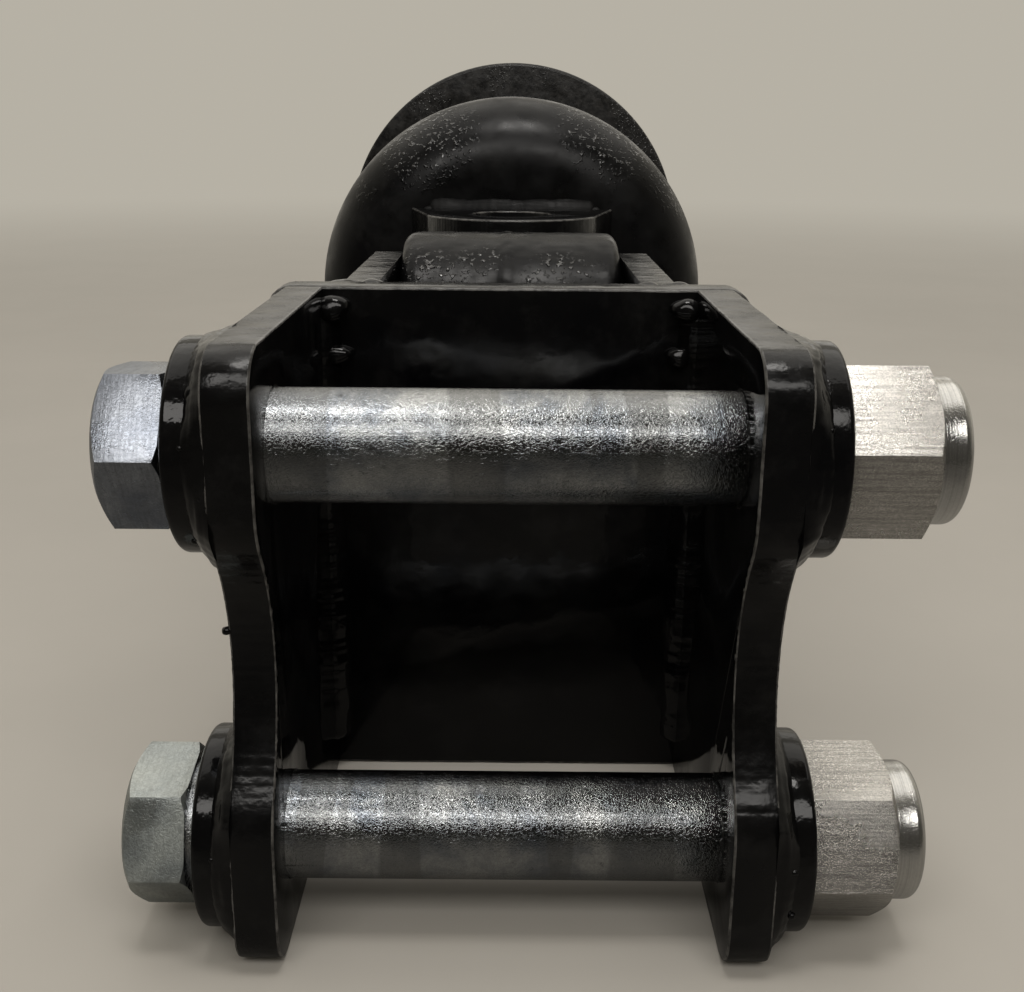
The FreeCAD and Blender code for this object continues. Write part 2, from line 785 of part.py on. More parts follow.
def pitch_pin_set():
    """The level pin through the rear ears, its locking bolt and its nipple."""
    flag_reach = size["rear_ear_radius"] * 1.2
    flag_pin("pitch_pin", "YZ_Plane", -rear_ear_outside_x, rear_ear_outside_x, pitch_pivot_y,
             flag_reach, (-1, 0))
    flag_face = -rear_ear_outside_x - size["flag_thickness"]
    hex_bolt("pitch_pin_bolt", flag_face, pitch_pivot_y - flag_reach, 0, (0, 1, 0), -90)
    grease_nipple("pitch_pin_nipple", rear_ear_outside_x, pitch_pivot_y, 0, (0, 1, 0), 90)


def side_pin_set():
    """The upright pin through the hood's ears, with its flag, locking bolt and nipple underneath."""
    flag_reach = size["hood_ear_nose"] * 0.75
    far_end = hood_ear_face_z - size["pin_end_recess"]
    flag_pin("side_pin", "XY_Plane", -hood_ear_face_z, far_end, side_pivot_y, flag_reach, (1, 0))
    flag_face = -hood_ear_face_z - size["flag_thickness"]
    hex_bolt("side_pin_bolt", flag_reach, side_pivot_y, flag_face, (1, 0, 0), 180)
    grease_nipple("side_pin_nipple", 0, side_pivot_y, flag_face, (1, 0, 0), 180)


# ---------------------------------------------------------------- hood

def hood_shell():
    """A heavy pipe closed by a flat end with a deep round knuckle, with a hose window on the +X side."""
    outer = size["hood_radius"]
    wall = size["hood_wall"]
    inner = outer - wall
    body = turned_part("hood_shell", "YZ_Plane",
                       [(hood_end, 0), (hood_mouth, 0), (hood_mouth, outer), (hood_end, outer)])
    dress(body, "Fillet", size["hood_knuckle"],
          lambda edge, middle: is_round(edge, outer) and near(middle.y, hood_end))
    hollow = sketch_on(body, "YZ_Plane")
    floor = hood_end + wall
    bend = size["hood_knuckle"] - wall
    profile = [(hood_mouth, 0), (hood_mouth, inner)]
    for step in range(BEND_STEPS + 1):
        turn = math.radians(90 * step / BEND_STEPS)
        profile.append((floor + bend * (1 - math.sin(turn)), inner - bend * (1 - math.cos(turn))))
    profile.append((floor, 0))
    outline(hollow, profile)
    groove = body.newObject("PartDesign::Groove", "hood_hollow")
    groove.Profile = hollow
    groove.ReferenceAxis = (hollow, ["H_Axis"])
    groove.Angle = 360
    doc.recompute()
    window = sketch_on(body, "YZ_Plane", outer / 2)
    middle_y = port_middle_y
    half = size["window_length"] / 2
    half_height = size["window_height"] / 2
    rectangle(window, middle_y - half, middle_y + half, -half_height, half_height)
    pocket(body, window, outer, reverse=True)
    dress(body, "Fillet", size["window_corner"],
          lambda edge, middle: near(abs(middle.z), half_height)
          and near(abs(middle.y - number(middle_y)), half) and middle.x > number(outer) / 2)
    return body


def hood_ear(label, low_z):
    """A flat ear welded to the hood's end, round nosed about the side pivot."""
    body = part_body(label, z=low_z)
    blank = sketch_on(body, "XY_Plane")
    half = size["hood_ear_base"] / 2
    lug_outline(blank, (0, side_pivot_y), size["hood_ear_nose"], (-half, hood_end), (half, hood_end))
    pad(body, blank, size["hood_ear_thickness"])
    bore = sketch_on(body, "XY_Plane")
    circle(bore, 0, side_pivot_y, pivot_bore_radius)
    pocket(body, bore)
    return body


def hood_ear_welds():
    leg = number(size["ear_weld_leg"])
    rear = number(hood_end)
    outer = number(hood_ear_face_z)
    half = number(size["hood_ear_base"]) / 2
    beads = []
    for side in (-1, 1):
        run = (2 * half - 2 * leg, 0, 0)
        beads.append(bead((leg - half, rear, side * outer), (0, 0, side * leg), (0, -leg, 0), run))
    flat_end = Part.makeCylinder(number(size["hood_radius"] - size["hood_knuckle"]), 3 * leg,
                                 FreeCAD.Vector(0, rear + leg, 0), FreeCAD.Vector(0, -1, 0))
    keep_shape("hood_ear_welds", Part.makeCompound([one.common(flat_end) for one in beads]))


def bolt_holes(body, face_y, depth=None):
    """The ring of bolt holes that the gearbox's stacked flanges share."""
    sketch = sketch_on(body, "XZ_Plane", -face_y)
    half_step = math.pi / number(size["bolt_count"])
    circle(sketch, bolt_circle_radius * math.sin(half_step),
           bolt_circle_radius * math.cos(half_step), size["bolt_radius"] + size["seat_clearance"])
    cut = pocket(body, sketch, depth, reverse=True)
    repeat(body, [cut], sketch, "N_Axis", size["bolt_count"])


def hood_flange():
    """The ring that the hood is welded to. The gearbox bolts thread into it from behind."""
    body = turned_part("hood_flange", "YZ_Plane",
                       [(hood_mouth, size["hood_flange_bore"]), (flange_joint, size["hood_flange_bore"]),
                        (flange_joint, mount_flange_radius),
                        (hood_mouth, mount_flange_radius)])
    bolt_holes(body, flange_joint, size["hood_flange_thickness"] - size["blind_hole_floor"])
    dress(body, "Chamfer", size["hood_flange_chamfer"],
          lambda edge, middle: is_round(edge, mount_flange_radius) and near(middle.y, hood_mouth))
    return body


def hood_flange_weld():
    """The bead all round the hood's mouth."""
    leg = size["mouth_weld_leg"]
    turned_part("hood_flange_weld", "YZ_Plane",
                [(hood_mouth - leg, size["hood_radius"]), (hood_mouth, size["hood_radius"]),
                 (hood_mouth, size["hood_radius"] + leg)])


# ---------------------------------------------------------------- planetary gearbox

def gear_outline(teeth, tip_radius, root_radius, play, first_angle):
    """An involute gear's closed outline about the origin, with a tooth at first_angle.

    play thins each tooth, or widens it where it is negative, at the pitch circle."""
    module = number(size["gear_module"])
    pressure = math.radians(PRESSURE_ANGLE)
    pitch_radius = module * teeth / 2
    base_radius = pitch_radius * math.cos(pressure)
    half_tooth = math.pi / (2 * teeth) - play / (2 * pitch_radius)
    at_pitch = math.tan(pressure) - pressure
    flank = []
    start = max(base_radius, root_radius)
    for step in range(4):
        radius = start + (tip_radius - start) * step / 3
        roll = math.acos(min(1.0, base_radius / radius))
        flank.append((radius, half_tooth + at_pitch - (math.tan(roll) - roll)))
    if root_radius < base_radius:
        flank.insert(0, (root_radius, flank[0][1]))
    corners = []
    for tooth in range(teeth):
        middle = first_angle + 2 * math.pi * tooth / teeth
        for radius, turn in flank:
            corners.append((radius, middle - turn))
        for radius, turn in reversed(flank):
            corners.append((radius, middle + turn))
    points = [FreeCAD.Vector(radius * math.cos(turn), 0, radius * math.sin(turn)) for radius, turn in corners]
    return Part.makePolygon(points + [points[0]])


def gear_prism(teeth, tip_radius, root_radius, play, first_angle, width):
    """A toothed prism whose rear face lies at y = 0 and which runs along +Y."""
    profile = gear_outline(teeth, tip_radius, root_radius, play, first_angle)
    return Part.Face(profile).extrude(FreeCAD.Vector(0, width, 0))


def ring_gear_housing():
    """The gearbox's middle section: bolt ring outside, internal teeth inside, a plug boss on each side."""
    module = number(size["gear_module"])
    teeth = int(number(ring_teeth))
    pitch_radius = module * teeth / 2
    blank = doc.addObject("PartDesign::Body", "ring_gear_blank")
    profile = sketch_on(blank, "YZ_Plane")
    bore = size["gear_module"] * (ring_teeth / 2 - TOOTH_STOCK)
    outline(profile, [(cover_joint, bore), (housing_joint, bore),
                      (housing_joint, size["ring_housing_radius"]),
                      (cover_joint, size["ring_housing_radius"])])
    revolve(blank, profile)
    bosses = sketch_on(blank, "YZ_Plane")
    circle(bosses, plug_y, 0, size["plug_collar_radius"] + size["plug_boss_margin"])
    pad(blank, bosses, 2 * plug_seat_x, symmetric=True)
    bolt_holes(blank, housing_joint)
    void = doc.addObject("Part::Feature", "ring_gear_void")
    shape = gear_prism(teeth, pitch_radius + ROOT_DEPTH * module, pitch_radius - module,
                       -number(size["tooth_play"]), math.pi / teeth, number(size["ring_housing_length"]))
    void.Shape = shape
    place(void, y=cover_joint)
    housing = doc.addObject("Part::Cut", "ring_gear_housing")
    housing.Base = blank
    housing.Tool = void
    housing.Label = "ring_gear_housing"
    doc.recompute()
    parts.append(housing)
    return housing


def planet_angle(index):
    """Where a planet stands round the drive's axis, the first one at the top."""
    return 90 + 360 * index / number(size["planet_count"])


def planetary_gears():
    """Sun and planets. Each planet turns a tooth space to the sun and to the ring."""
    module = number(size["gear_module"])
    play = number(size["tooth_play"])
    width = number(size["gear_width"])
    sun_teeth = int(number(size["sun_teeth"]))
    planet_teeth = int(number(size["planet_teeth"]))
    planet_radius = module * planet_teeth / 2
    bore = Part.makeCylinder(number(size["planet_pin_radius"] + size["running_clearance"]), width,
                             FreeCAD.Vector(0, 0, 0), FreeCAD.Vector(0, 1, 0))
    for index in range(int(number(size["planet_count"]))):
        angle = math.radians(planet_angle(index))
        gear = gear_prism(planet_teeth, planet_radius + module, planet_radius - ROOT_DEPTH * module, play,
                          angle + math.pi / planet_teeth, width)
        keep_shape("planet_gear_%d" % (index + 1), gear.cut(bore),
                   gear_spacing * math.cos(angle), planet_rear, gear_spacing * math.sin(angle))
    sun_radius = module * sun_teeth / 2
    sun = gear_prism(sun_teeth, sun_radius + module, sun_radius - ROOT_DEPTH * module, play, 0, width)
    spline = Part.makeCylinder(number(size["motor_shaft_radius"] + size["seat_clearance"]), width,
                               FreeCAD.Vector(0, 0, 0), FreeCAD.Vector(0, 1, 0))
    keep_shape("sun_gear", sun.cut(spline), 0, planet_rear, 0)


def planet_holes(body, rear_face):
    """The three holes that a carrier plate holds the planet pins in."""
    sketch = sketch_on(body, "XZ_Plane", -rear_face)
    circle(sketch, 0, gear_spacing, size["planet_pin_radius"] + size["seat_clearance"])
    cut = pocket(body, sketch, size["carrier_thickness"])
    repeat(body, [cut], sketch, "N_Axis", size["planet_count"])


def output_shaft():
    """Shaft and front carrier plate in one forging, with the auger's lock pin hole across it."""
    rear = carrier_front - size["carrier_thickness"]
    body = turned_part("output_shaft", "YZ_Plane",
                       [(rear, 0), (size["shaft_reach"], 0), (size["shaft_reach"], size["shaft_radius"]),
                        (nose_face, size["shaft_radius"]), (nose_face, size["journal_radius"]),
                        (carrier_front, size["journal_radius"]), (carrier_front, size["carrier_radius"]),
                        (rear, size["carrier_radius"])])
    dress(body, "Chamfer", size["shaft_chamfer"],
          lambda edge, middle: is_round(edge, size["shaft_radius"]) and near(middle.y, size["shaft_reach"]))
    planet_holes(body, rear)
    cross = sketch_on(body, "YZ_Plane")
    circle(cross, 0, 0, size["lock_bore_radius"])
    pocket(body, cross)
    return body


def carrier_plate():
    """The rear carrier plate, which steadies the planet pins and lets the motor's shaft through."""
    front = carrier_rear + size["carrier_thickness"]
    hole = size["motor_shaft_radius"] + size["carrier_passage"]
    body = turned_part("carrier_plate", "YZ_Plane",
                       [(carrier_rear, hole), (front, hole), (front, size["carrier_radius"]),
                        (carrier_rear, size["carrier_radius"])])
    planet_holes(body, carrier_rear)
    return body


def planet_pins():
    """The pins that the planets turn on, pressed into both carrier plates."""
    length = number(carrier_front - carrier_rear)
    radius = number(size["planet_pin_radius"])
    spacing = number(gear_spacing)
    pins = []
    for index in range(int(number(size["planet_count"]))):
        angle = math.radians(planet_angle(index))
        base = FreeCAD.Vector(spacing * math.cos(angle), 0, spacing * math.sin(angle))
        pins.append(Part.makeCylinder(radius, length, base, FreeCAD.Vector(0, 1, 0)))
    keep_shape("planet_pins", Part.makeCompound(pins), y=carrier_rear)


def output_housing():
    """The bearing housing: bolt flange, ribbed cone and nose."""
    flange_face = housing_joint + size["mount_flange_thickness"]
    seal_step = nose_face - size["seal_width"]
    shoulder_front = seal_step - size["bearing_width"]
    shoulder_rear = shoulder_front - size["bearing_spacing"]
    shoulder_radius = size["bearing_radius"] - size["bearing_shoulder"]
    body = turned_part("output_housing", "YZ_Plane",
                       [(housing_joint, size["bearing_radius"]), (housing_joint, mount_flange_radius),
                        (flange_face, mount_flange_radius), (flange_face, size["output_waist_radius"]),
                        (nose_face, size["output_nose_radius"]), (nose_face, size["seal_radius"]),
                        (seal_step, size["seal_radius"]), (seal_step, size["bearing_radius"]),
                        (shoulder_front, size["bearing_radius"]), (shoulder_front, shoulder_radius),
                        (shoulder_rear, shoulder_radius), (shoulder_rear, size["bearing_radius"])])
    rib = sketch_on(body, "YZ_Plane", -size["output_rib_thickness"] / 2)
    root = size["output_nose_radius"] - size["output_rib_inset"]
    outline(rib, [(flange_face, root), (nose_face - size["output_rib_inset"], root),
                  (flange_face, bolt_circle_radius + size["bolt_radius"])])
    web = pad(body, rib, size["output_rib_thickness"])
    repeat(body, [web], rib, "H_Axis", size["output_rib_count"])
    bolt_holes(body, flange_face)
    return body


def output_bearings():
    """Two roller bearings: a cup in the housing and a cone with its rollers on the shaft."""
    width = size["bearing_width"]
    cup_bore = size["bearing_radius"] - size["bearing_ring"]
    cone_radius = size["journal_radius"] + size["bearing_ring"]
    roller_radius = (cup_bore - cone_radius) / 2
    cup_radius = size["bearing_radius"] - size["seat_clearance"]
    cone_bore = size["journal_radius"] + size["seat_clearance"]
    start = nose_face - size["seal_width"]
    for name, front in (("front", start), ("rear", start - width - size["bearing_spacing"])):
        rear = front - width
        turned_part(name + "_bearing_cup", "YZ_Plane",
                    [(rear, cup_bore), (front, cup_bore), (front, cup_radius), (rear, cup_radius)])
        cone = turned_part(name + "_bearing_cone", "YZ_Plane",
                           [(rear, cone_bore), (front, cone_bore), (front, cone_radius), (rear, cone_radius)])
        roller = sketch_on(cone, "XZ_Plane", -(rear + size["roller_inset"]))
        circle(roller, 0, cone_radius + roller_radius - size["running_clearance"], roller_radius)
        one = pad(cone, roller, width - 2 * size["roller_inset"], reverse=True)
        repeat(cone, [one], roller, "N_Axis", size["roller_count"])


def output_seal():
    turned_part("output_seal", "YZ_Plane",
                [(nose_face - size["seal_width"], size["journal_radius"] + size["running_clearance"]),
                 (nose_face, size["journal_radius"] + size["running_clearance"]),
                 (nose_face, size["seal_radius"] - size["seat_clearance"]),
                 (nose_face - size["seal_width"], size["seal_radius"] - size["seat_clearance"])])


def input_cover():
    """The plate that closes the gearbox towards the motor."""
    hole = size["motor_shaft_radius"] + size["cover_passage"]
    body = turned_part("input_cover", "YZ_Plane",
                       [(flange_joint, hole), (cover_joint, hole), (cover_joint, size["ring_housing_radius"]),
                        (flange_joint, size["ring_housing_radius"])])
    bolt_holes(body, cover_joint)
    motor_bolt_holes(body, size["motor_bolt_depth"])
    return body


def socket_screw(radius, length, head_radius, head_height, socket):
    """A cap screw along +Y with its head's underside at y = 0 and its shank behind it."""
    forward = FreeCAD.Vector(0, 1, 0)
    shank = Part.makeCylinder(radius, length, FreeCAD.Vector(0, -length, 0), forward)
    head = Part.makeCylinder(head_radius, head_height, FreeCAD.Vector(0, 0, 0), forward)
    recess = Part.makeCylinder(socket, head_height / 2, FreeCAD.Vector(0, head_height / 2, 0), forward)
    return shank.fuse(head).cut(recess)


def screw_ring(screw, ring_radius, count, backwards):
    """Copies of a screw on a circle about the drive's axis, none of them at the very top."""
    ring = []
    for index in range(count):
        one = screw.copy()
        if backwards:
            one.rotate(FreeCAD.Vector(0, 0, 0), FreeCAD.Vector(0, 0, 1), 180)
        one.translate(FreeCAD.Vector(ring_radius, 0, 0))
        one.rotate(FreeCAD.Vector(0, 0, 0), FreeCAD.Vector(0, -1, 0), 90 + 180 * (2 * index + 1) / count)
        ring.append(one)
    return Part.makeCompound(ring)


def gearbox_bolts():
    """The long screws that clamp housing, ring gear and cover to the hood's flange."""
    head_face = housing_joint + size["mount_flange_thickness"]
    hole_depth = size["hood_flange_thickness"] - size["blind_hole_floor"]
    length = number(head_face - flange_joint + hole_depth - size["screw_end_gap"])
    screw = socket_screw(number(size["bolt_radius"]), length, number(size["bolt_head_radius"]),
                         number(size["bolt_head_height"]), number(size["bolt_radius"]) * SOCKET_SHARE)
    keep_shape("gearbox_bolts", screw_ring(screw, number(bolt_circle_radius),
                                           int(number(size["bolt_count"])), False), y=head_face)


def oil_plugs():
    """A hexagon plug on each side of the gearbox, one to fill it and one to drain it."""
    for label, side in (("fill_plug", -1), ("drain_plug", 1)):
        body = part_body(label, side * plug_seat_x, plug_y, 0, (0, 1, 0), 90 * side)
        collar = sketch_on(body, "XY_Plane")
        circle(collar, 0, 0, size["plug_collar_radius"])
        pad(body, collar, size["plug_collar_height"])
        head = sketch_on(body, "XY_Plane")
        hexagon(head, size["plug_hex"])
        pad(body, head, size["plug_head_height"])


# ---------------------------------------------------------------- hydraulic motor

motor_flange_rear = flange_joint - size["motor_flange_thickness"]
motor_rear = motor_flange_rear - size["motor_length"]
gerotor_rear = motor_rear - size["gerotor_length"]
end_cover_rear = gerotor_rear - size["end_cover_length"]
port_middle_y = motor_flange_rear - size["motor_length"] / 2 - size["port_offset"]


def motor_bolt_holes(body, depth=None):
    """The holes of the bolts that hold the motor to the gearbox's cover."""
    holes = sketch_on(body, "XZ_Plane", -flange_joint)
    half_step = math.pi / number(size["motor_bolt_count"])
    bore_radius = size["motor_bolt_radius"] + size["seat_clearance"]
    circle(holes, size["motor_bolt_circle"] * math.sin(half_step),
           size["motor_bolt_circle"] * math.cos(half_step), bore_radius)
    cut = pocket(body, holes, depth)
    repeat(body, [cut], holes, "N_Axis", size["motor_bolt_count"])


def motor_bolts():
    """Four screws through the motor's flange into the gearbox's cover."""
    length = number(size["motor_flange_thickness"] + size["motor_bolt_depth"] - size["screw_end_gap"])
    radius = number(size["motor_bolt_radius"])
    screw = socket_screw(radius, length, number(size["motor_bolt_head_radius"]),
                         2 * radius, radius * SOCKET_SHARE)
    keep_shape("motor_bolts", screw_ring(screw, number(size["motor_bolt_circle"]),
                                         int(number(size["motor_bolt_count"])), True), y=motor_flange_rear)


def motor_housing():
    """Mounting flange, round body and port block of the orbital motor."""
    hole = size["motor_shaft_radius"] + size["running_clearance"]
    body = turned_part("motor_housing", "YZ_Plane",
                       [(motor_rear, hole), (flange_joint, hole), (flange_joint, size["motor_flange_radius"]),
                        (motor_flange_rear, size["motor_flange_radius"]),
                        (motor_flange_rear, size["motor_radius"]), (motor_rear, size["motor_radius"])])
    block = sketch_on(body, "YZ_Plane", size["motor_radius"] / 2)
    half = size["motor_length"] / 2 - size["port_offset"] - size["port_block_margin"]
    rectangle(block, port_middle_y - half, port_middle_y + half,
              -size["port_block_half_height"], size["port_block_half_height"])
    pad(body, block, size["port_block_reach"] - size["motor_radius"] / 2)
    motor_bolt_holes(body)
    return body


def motor_sections():
    """Gerotor ring and end cover, stacked behind the housing."""
    bore = size["motor_shaft_radius"] + size["running_clearance"]
    turned_part("motor_gerotor_ring", "YZ_Plane",
                [(gerotor_rear, bore), (motor_rear, bore), (motor_rear, size["gerotor_radius"]),
                 (gerotor_rear, size["gerotor_radius"])])
    cover = turned_part("motor_end_cover", "YZ_Plane",
                        [(end_cover_rear, 0), (gerotor_rear, 0), (gerotor_rear, size["end_cover_radius"]),
                         (end_cover_rear, size["end_cover_radius"])])
    dress(cover, "Chamfer", size["end_cover_chamfer"],
          lambda edge, middle: is_round(edge, size["end_cover_radius"]) and near(middle.y, end_cover_rear))


def motor_shaft():
    """From the gerotor through the cover to the sun gear."""
    turned_part("motor_shaft", "YZ_Plane",
                [(gerotor_rear, 0), (planet_front, 0), (planet_front, size["motor_shaft_radius"]),
                 (gerotor_rear, size["motor_shaft_radius"])])


def port_adapters():
    """Hexagon adapters in the motor's two ports, each with a threaded mouth that faces the window."""
    for label, side in (("port_adapter_a", -1), ("port_adapter_b", 1)):
        body = part_body(label, size["port_block_reach"], port_middle_y + side * size["port_spacing"] / 2, 0)
        block = sketch_on(body, "YZ_Plane")
        hexagon(block, size["adapter_hex"])
        pad(body, block, size["adapter_hex_length"])
        neck = sketch_on(body, "YZ_Plane", size["adapter_hex_length"])
        circle(neck, 0, 0, size["adapter_neck_radius"])
        pad(body, neck, size["adapter_length"] - size["adapter_hex_length"])
        mouth = sketch_on(body, "YZ_Plane", size["adapter_length"])
        circle(mouth, 0, 0, size["port_thread_radius"])
        pocket(body, mouth, size["port_depth"])


# ---------------------------------------------------------------- build

def build():
    back_plate()
    side_plate("side_plate_left", -plate_outside_x)
    side_plate("side_plate_right", plate_inside_x)
    for level, height in (("upper", dipper_pin_z), ("lower", link_pin_z)):
        hitch_boss("boss_%s_left" % level, -1, height)
        hitch_boss("boss_%s_right" % level, 1, height)
    hitch_welds()
    boss_welds()
    rear_ear("rear_ear_left", -rear_ear_outside_x)
    rear_ear("rear_ear_right", rear_ear_inside_x)
    rear_ear_welds()
    hitch_pin("dipper_pin", dipper_pin_z, size["dipper_pin_stand_off"], -3)
    hitch_nut("dipper_pin_nut", dipper_pin_z, -11.5)
    hitch_pin("link_pin", link_pin_z, size["link_pin_stand_off"], 12)
    hitch_nut("link_pin_nut", link_pin_z, 11.5)
    knuckle()
    pivot_bushes()
    pitch_pin_set()
    side_pin_set()
    hood_shell()
    hood_ear("hood_ear_upper", size["hood_ear_gap"] / 2)
    hood_ear("hood_ear_lower", -hood_ear_face_z)
    hood_ear_welds()
    hood_flange()
    hood_flange_weld()
    ring_gear_housing()
    planetary_gears()
    output_shaft()
    carrier_plate()
    planet_pins()
    output_housing()
    output_bearings()
    output_seal()
    input_cover()
    gearbox_bolts()
    oil_plugs()
    motor_housing()
    motor_sections()
    motor_bolts()
    motor_shaft()
    port_adapters()
    doc.recompute()


def check_document():
    """Stops the build if anything in the document failed."""
    for thing in doc.Objects:
        if "Invalid" in thing.State or "Error" in thing.State:
            raise RuntimeError("%s failed: %s" % (thing.Name, thing.State))
    for thing in parts:
        if thing.Shape.isNull() or not thing.Shape.isValid():
            raise RuntimeError(thing.Label + " has no valid shape")


def write_parts():
    os.makedirs("parts", exist_ok=True)
    for thing in parts:
        thing.Shape.exportStep("parts/%s.step" % thing.Label)
        box = thing.Shape.BoundBox
        print("%-22s solids %d volume %9.0f  x %.1f..%.1f  y %.1f..%.1f  z %.1f..%.1f"
              % (thing.Label, len(thing.Shape.Solids), thing.Shape.Volume, box.XMin, box.XMax,
                 box.YMin, box.YMax, box.ZMin, box.ZMax))


build()
check_document()
write_parts()
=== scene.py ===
import json
import math
import random

import bpy
import bmesh
from mathutils import Matrix, Vector, noise


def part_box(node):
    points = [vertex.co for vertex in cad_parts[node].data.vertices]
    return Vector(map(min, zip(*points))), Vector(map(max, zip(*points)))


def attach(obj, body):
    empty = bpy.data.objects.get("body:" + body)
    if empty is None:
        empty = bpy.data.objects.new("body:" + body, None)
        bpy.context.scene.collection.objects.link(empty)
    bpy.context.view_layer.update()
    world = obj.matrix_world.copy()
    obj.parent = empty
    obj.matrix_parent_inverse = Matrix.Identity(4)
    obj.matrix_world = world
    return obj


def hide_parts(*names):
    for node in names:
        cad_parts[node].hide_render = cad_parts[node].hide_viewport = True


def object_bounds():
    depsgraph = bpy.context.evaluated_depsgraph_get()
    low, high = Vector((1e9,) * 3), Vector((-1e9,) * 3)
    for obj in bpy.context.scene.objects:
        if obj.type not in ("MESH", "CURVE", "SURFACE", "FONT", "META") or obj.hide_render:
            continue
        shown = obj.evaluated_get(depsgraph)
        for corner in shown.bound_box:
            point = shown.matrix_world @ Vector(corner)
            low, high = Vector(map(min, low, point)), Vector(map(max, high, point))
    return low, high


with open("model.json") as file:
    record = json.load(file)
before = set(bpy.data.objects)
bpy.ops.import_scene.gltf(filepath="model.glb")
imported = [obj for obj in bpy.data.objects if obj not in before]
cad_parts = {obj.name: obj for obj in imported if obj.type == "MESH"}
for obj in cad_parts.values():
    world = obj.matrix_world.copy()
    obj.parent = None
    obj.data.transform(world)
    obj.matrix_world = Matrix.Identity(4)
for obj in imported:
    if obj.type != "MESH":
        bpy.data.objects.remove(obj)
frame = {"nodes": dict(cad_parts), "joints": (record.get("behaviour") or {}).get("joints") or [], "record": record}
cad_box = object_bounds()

MM = 0.001
NODES = frame["nodes"]
BODY_OF = {node: body for body, members in frame["record"]["behaviour"]["bodies"].items() for node in members}


def joint_centre(name):
    """Where a joint's axis lies, in metres."""
    return Vector([joint["pos_m"] for joint in frame["joints"] if joint["name"] == name][0])


DIPPER_PIN = joint_centre("dipper_pin_pull")
LINK_PIN = joint_centre("link_pin_pull")

HEAD_LENGTH = 15.8 * MM
HEAD_ACROSS_FLATS = 33 * MM
WASHER_FACE_RADIUS = 15.4 * MM
WASHER_FACE_HEIGHT = 1.5 * MM
NUT_COLLAR_LENGTH = 7.2 * MM
HOOD_CORNER_RADIUS = 30 * MM
HOOD_WALL = 7.1 * MM
HOSE_WINDOW_LENGTH = 92 * MM
HOSE_WINDOW_HEIGHT = 66 * MM
HOSE_WINDOW_CORNER = 18 * MM
PARTING_LINE_X = -1.5 * MM
PARTING_LINE_HALF_WIDTH = 2.6 * MM


# ---------------------------------------------------------------- working with pieces

def pick(piece):
    """Selects one piece and nothing else."""
    bpy.ops.object.select_all(action="DESELECT")
    piece.hide_viewport = False
    piece.select_set(True)
    bpy.context.view_layer.objects.active = piece


def new_piece(name):
    """Names the piece that was just added."""
    piece = bpy.context.object
    piece.name = name
    piece.data.name = name
    return piece


def settle(piece):
    """Puts a piece's place and size into its mesh."""
    pick(piece)
    bpy.ops.object.transform_apply(location=True, rotation=True, scale=True)


def apply_modifiers(piece):
    """Makes all of a piece's modifiers part of its mesh."""
    pick(piece)
    for modifier in list(piece.modifiers):
        bpy.ops.object.modifier_apply(modifier=modifier.name)


def soften(piece, width, segments=2, angle=35):
    """Breaks the sharp edges of a piece and shades the rest smooth."""
    bevel = piece.modifiers.new("broken_edges", "BEVEL")
    bevel.width = width
    bevel.segments = segments
    bevel.limit_method = "ANGLE"
    bevel.angle_limit = math.radians(angle)
    apply_modifiers(piece)
    pick(piece)
    bpy.ops.object.shade_smooth_by_angle(angle=math.radians(angle))


def join(name, pieces):
    """Makes one piece of several."""
    bpy.ops.object.select_all(action="DESELECT")
    for piece in pieces:
        piece.select_set(True)
    bpy.context.view_layer.objects.active = pieces[0]
    bpy.ops.object.join()
    return new_piece(name)


def cut_away(piece, cutter, operation="DIFFERENCE"):
    """Takes a cutter out of a piece, or joins or crosses the two, and throws the cutter away."""
    cut = piece.modifiers.new("cut", "BOOLEAN")
    cut.operation = operation
    cut.solver = "EXACT"
    cut.object = cutter
    apply_modifiers(piece)
    bpy.data.objects.remove(cutter)


def copy_of(node, name):
    """A merged copy of a frame node, with its flat faces whole again."""
    pick(NODES[node])
    bpy.ops.object.duplicate()
    piece = new_piece(name)
    for key in list(piece.keys()):
        del piece[key]
    piece.parent = None
    piece.matrix_world = Matrix.Identity(4)
    bpy.ops.object.mode_set(mode="EDIT")
    bpy.ops.mesh.select_all(action="SELECT")
    bpy.ops.mesh.remove_doubles(threshold=0.002 * MM)
    bpy.ops.mesh.dissolve_limited(angle_limit=math.radians(0.4))
    bpy.ops.object.mode_set(mode="OBJECT")
    bpy.ops.mesh.customdata_custom_splitnormals_clear()
    return piece


def hand_over(piece, finish, node):
    """Gives a piece its finish and puts it in a node's place, on that node's body."""
    piece.data.materials.clear()
    piece.data.materials.append(finish)
    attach(piece, BODY_OF[node])
    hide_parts(node)


def refinish(piece, finish, chosen):
    """Gives another finish to the faces that are chosen."""
    piece.data.materials.append(finish)
    for face in piece.data.polygons:
        if chosen(face):
            face.material_index = len(piece.data.materials) - 1


def is_arris(face):
    """Whether a face is one of the narrow strips along a broken edge."""
    corners = [face.id_data.vertices[index].co for index in face.vertices]
    girth = sum((one - other).length for one, other in zip(corners, corners[1:] + corners[:1]))
    return face.area < 0.022 * girth * girth


# ---------------------------------------------------------------- finishes

def wire(tree, kind, inputs=None, **settings):
    """Adds a shader node, sets it and wires what is given as a socket."""
    made = tree.nodes.new("ShaderNode" + kind)
    for name, value in settings.items():
        setattr(made, name, value)
    for name, value in (inputs or {}).items():
        socket = made.inputs[name]
        if isinstance(value, bpy.types.NodeSocket):
            tree.links.new(value, socket)
        else:
            socket.default_value = value
    return made


def new_finish(name):
    """An empty finish: its node tree, its shader and its Object coordinates."""
    finish = bpy.data.materials.new(name)
    finish.use_nodes = True
    tree = finish.node_tree
    shader = tree.nodes["Principled BSDF"]
    place = wire(tree, "TexCoord").outputs["Object"]
    return finish, tree, shader, place


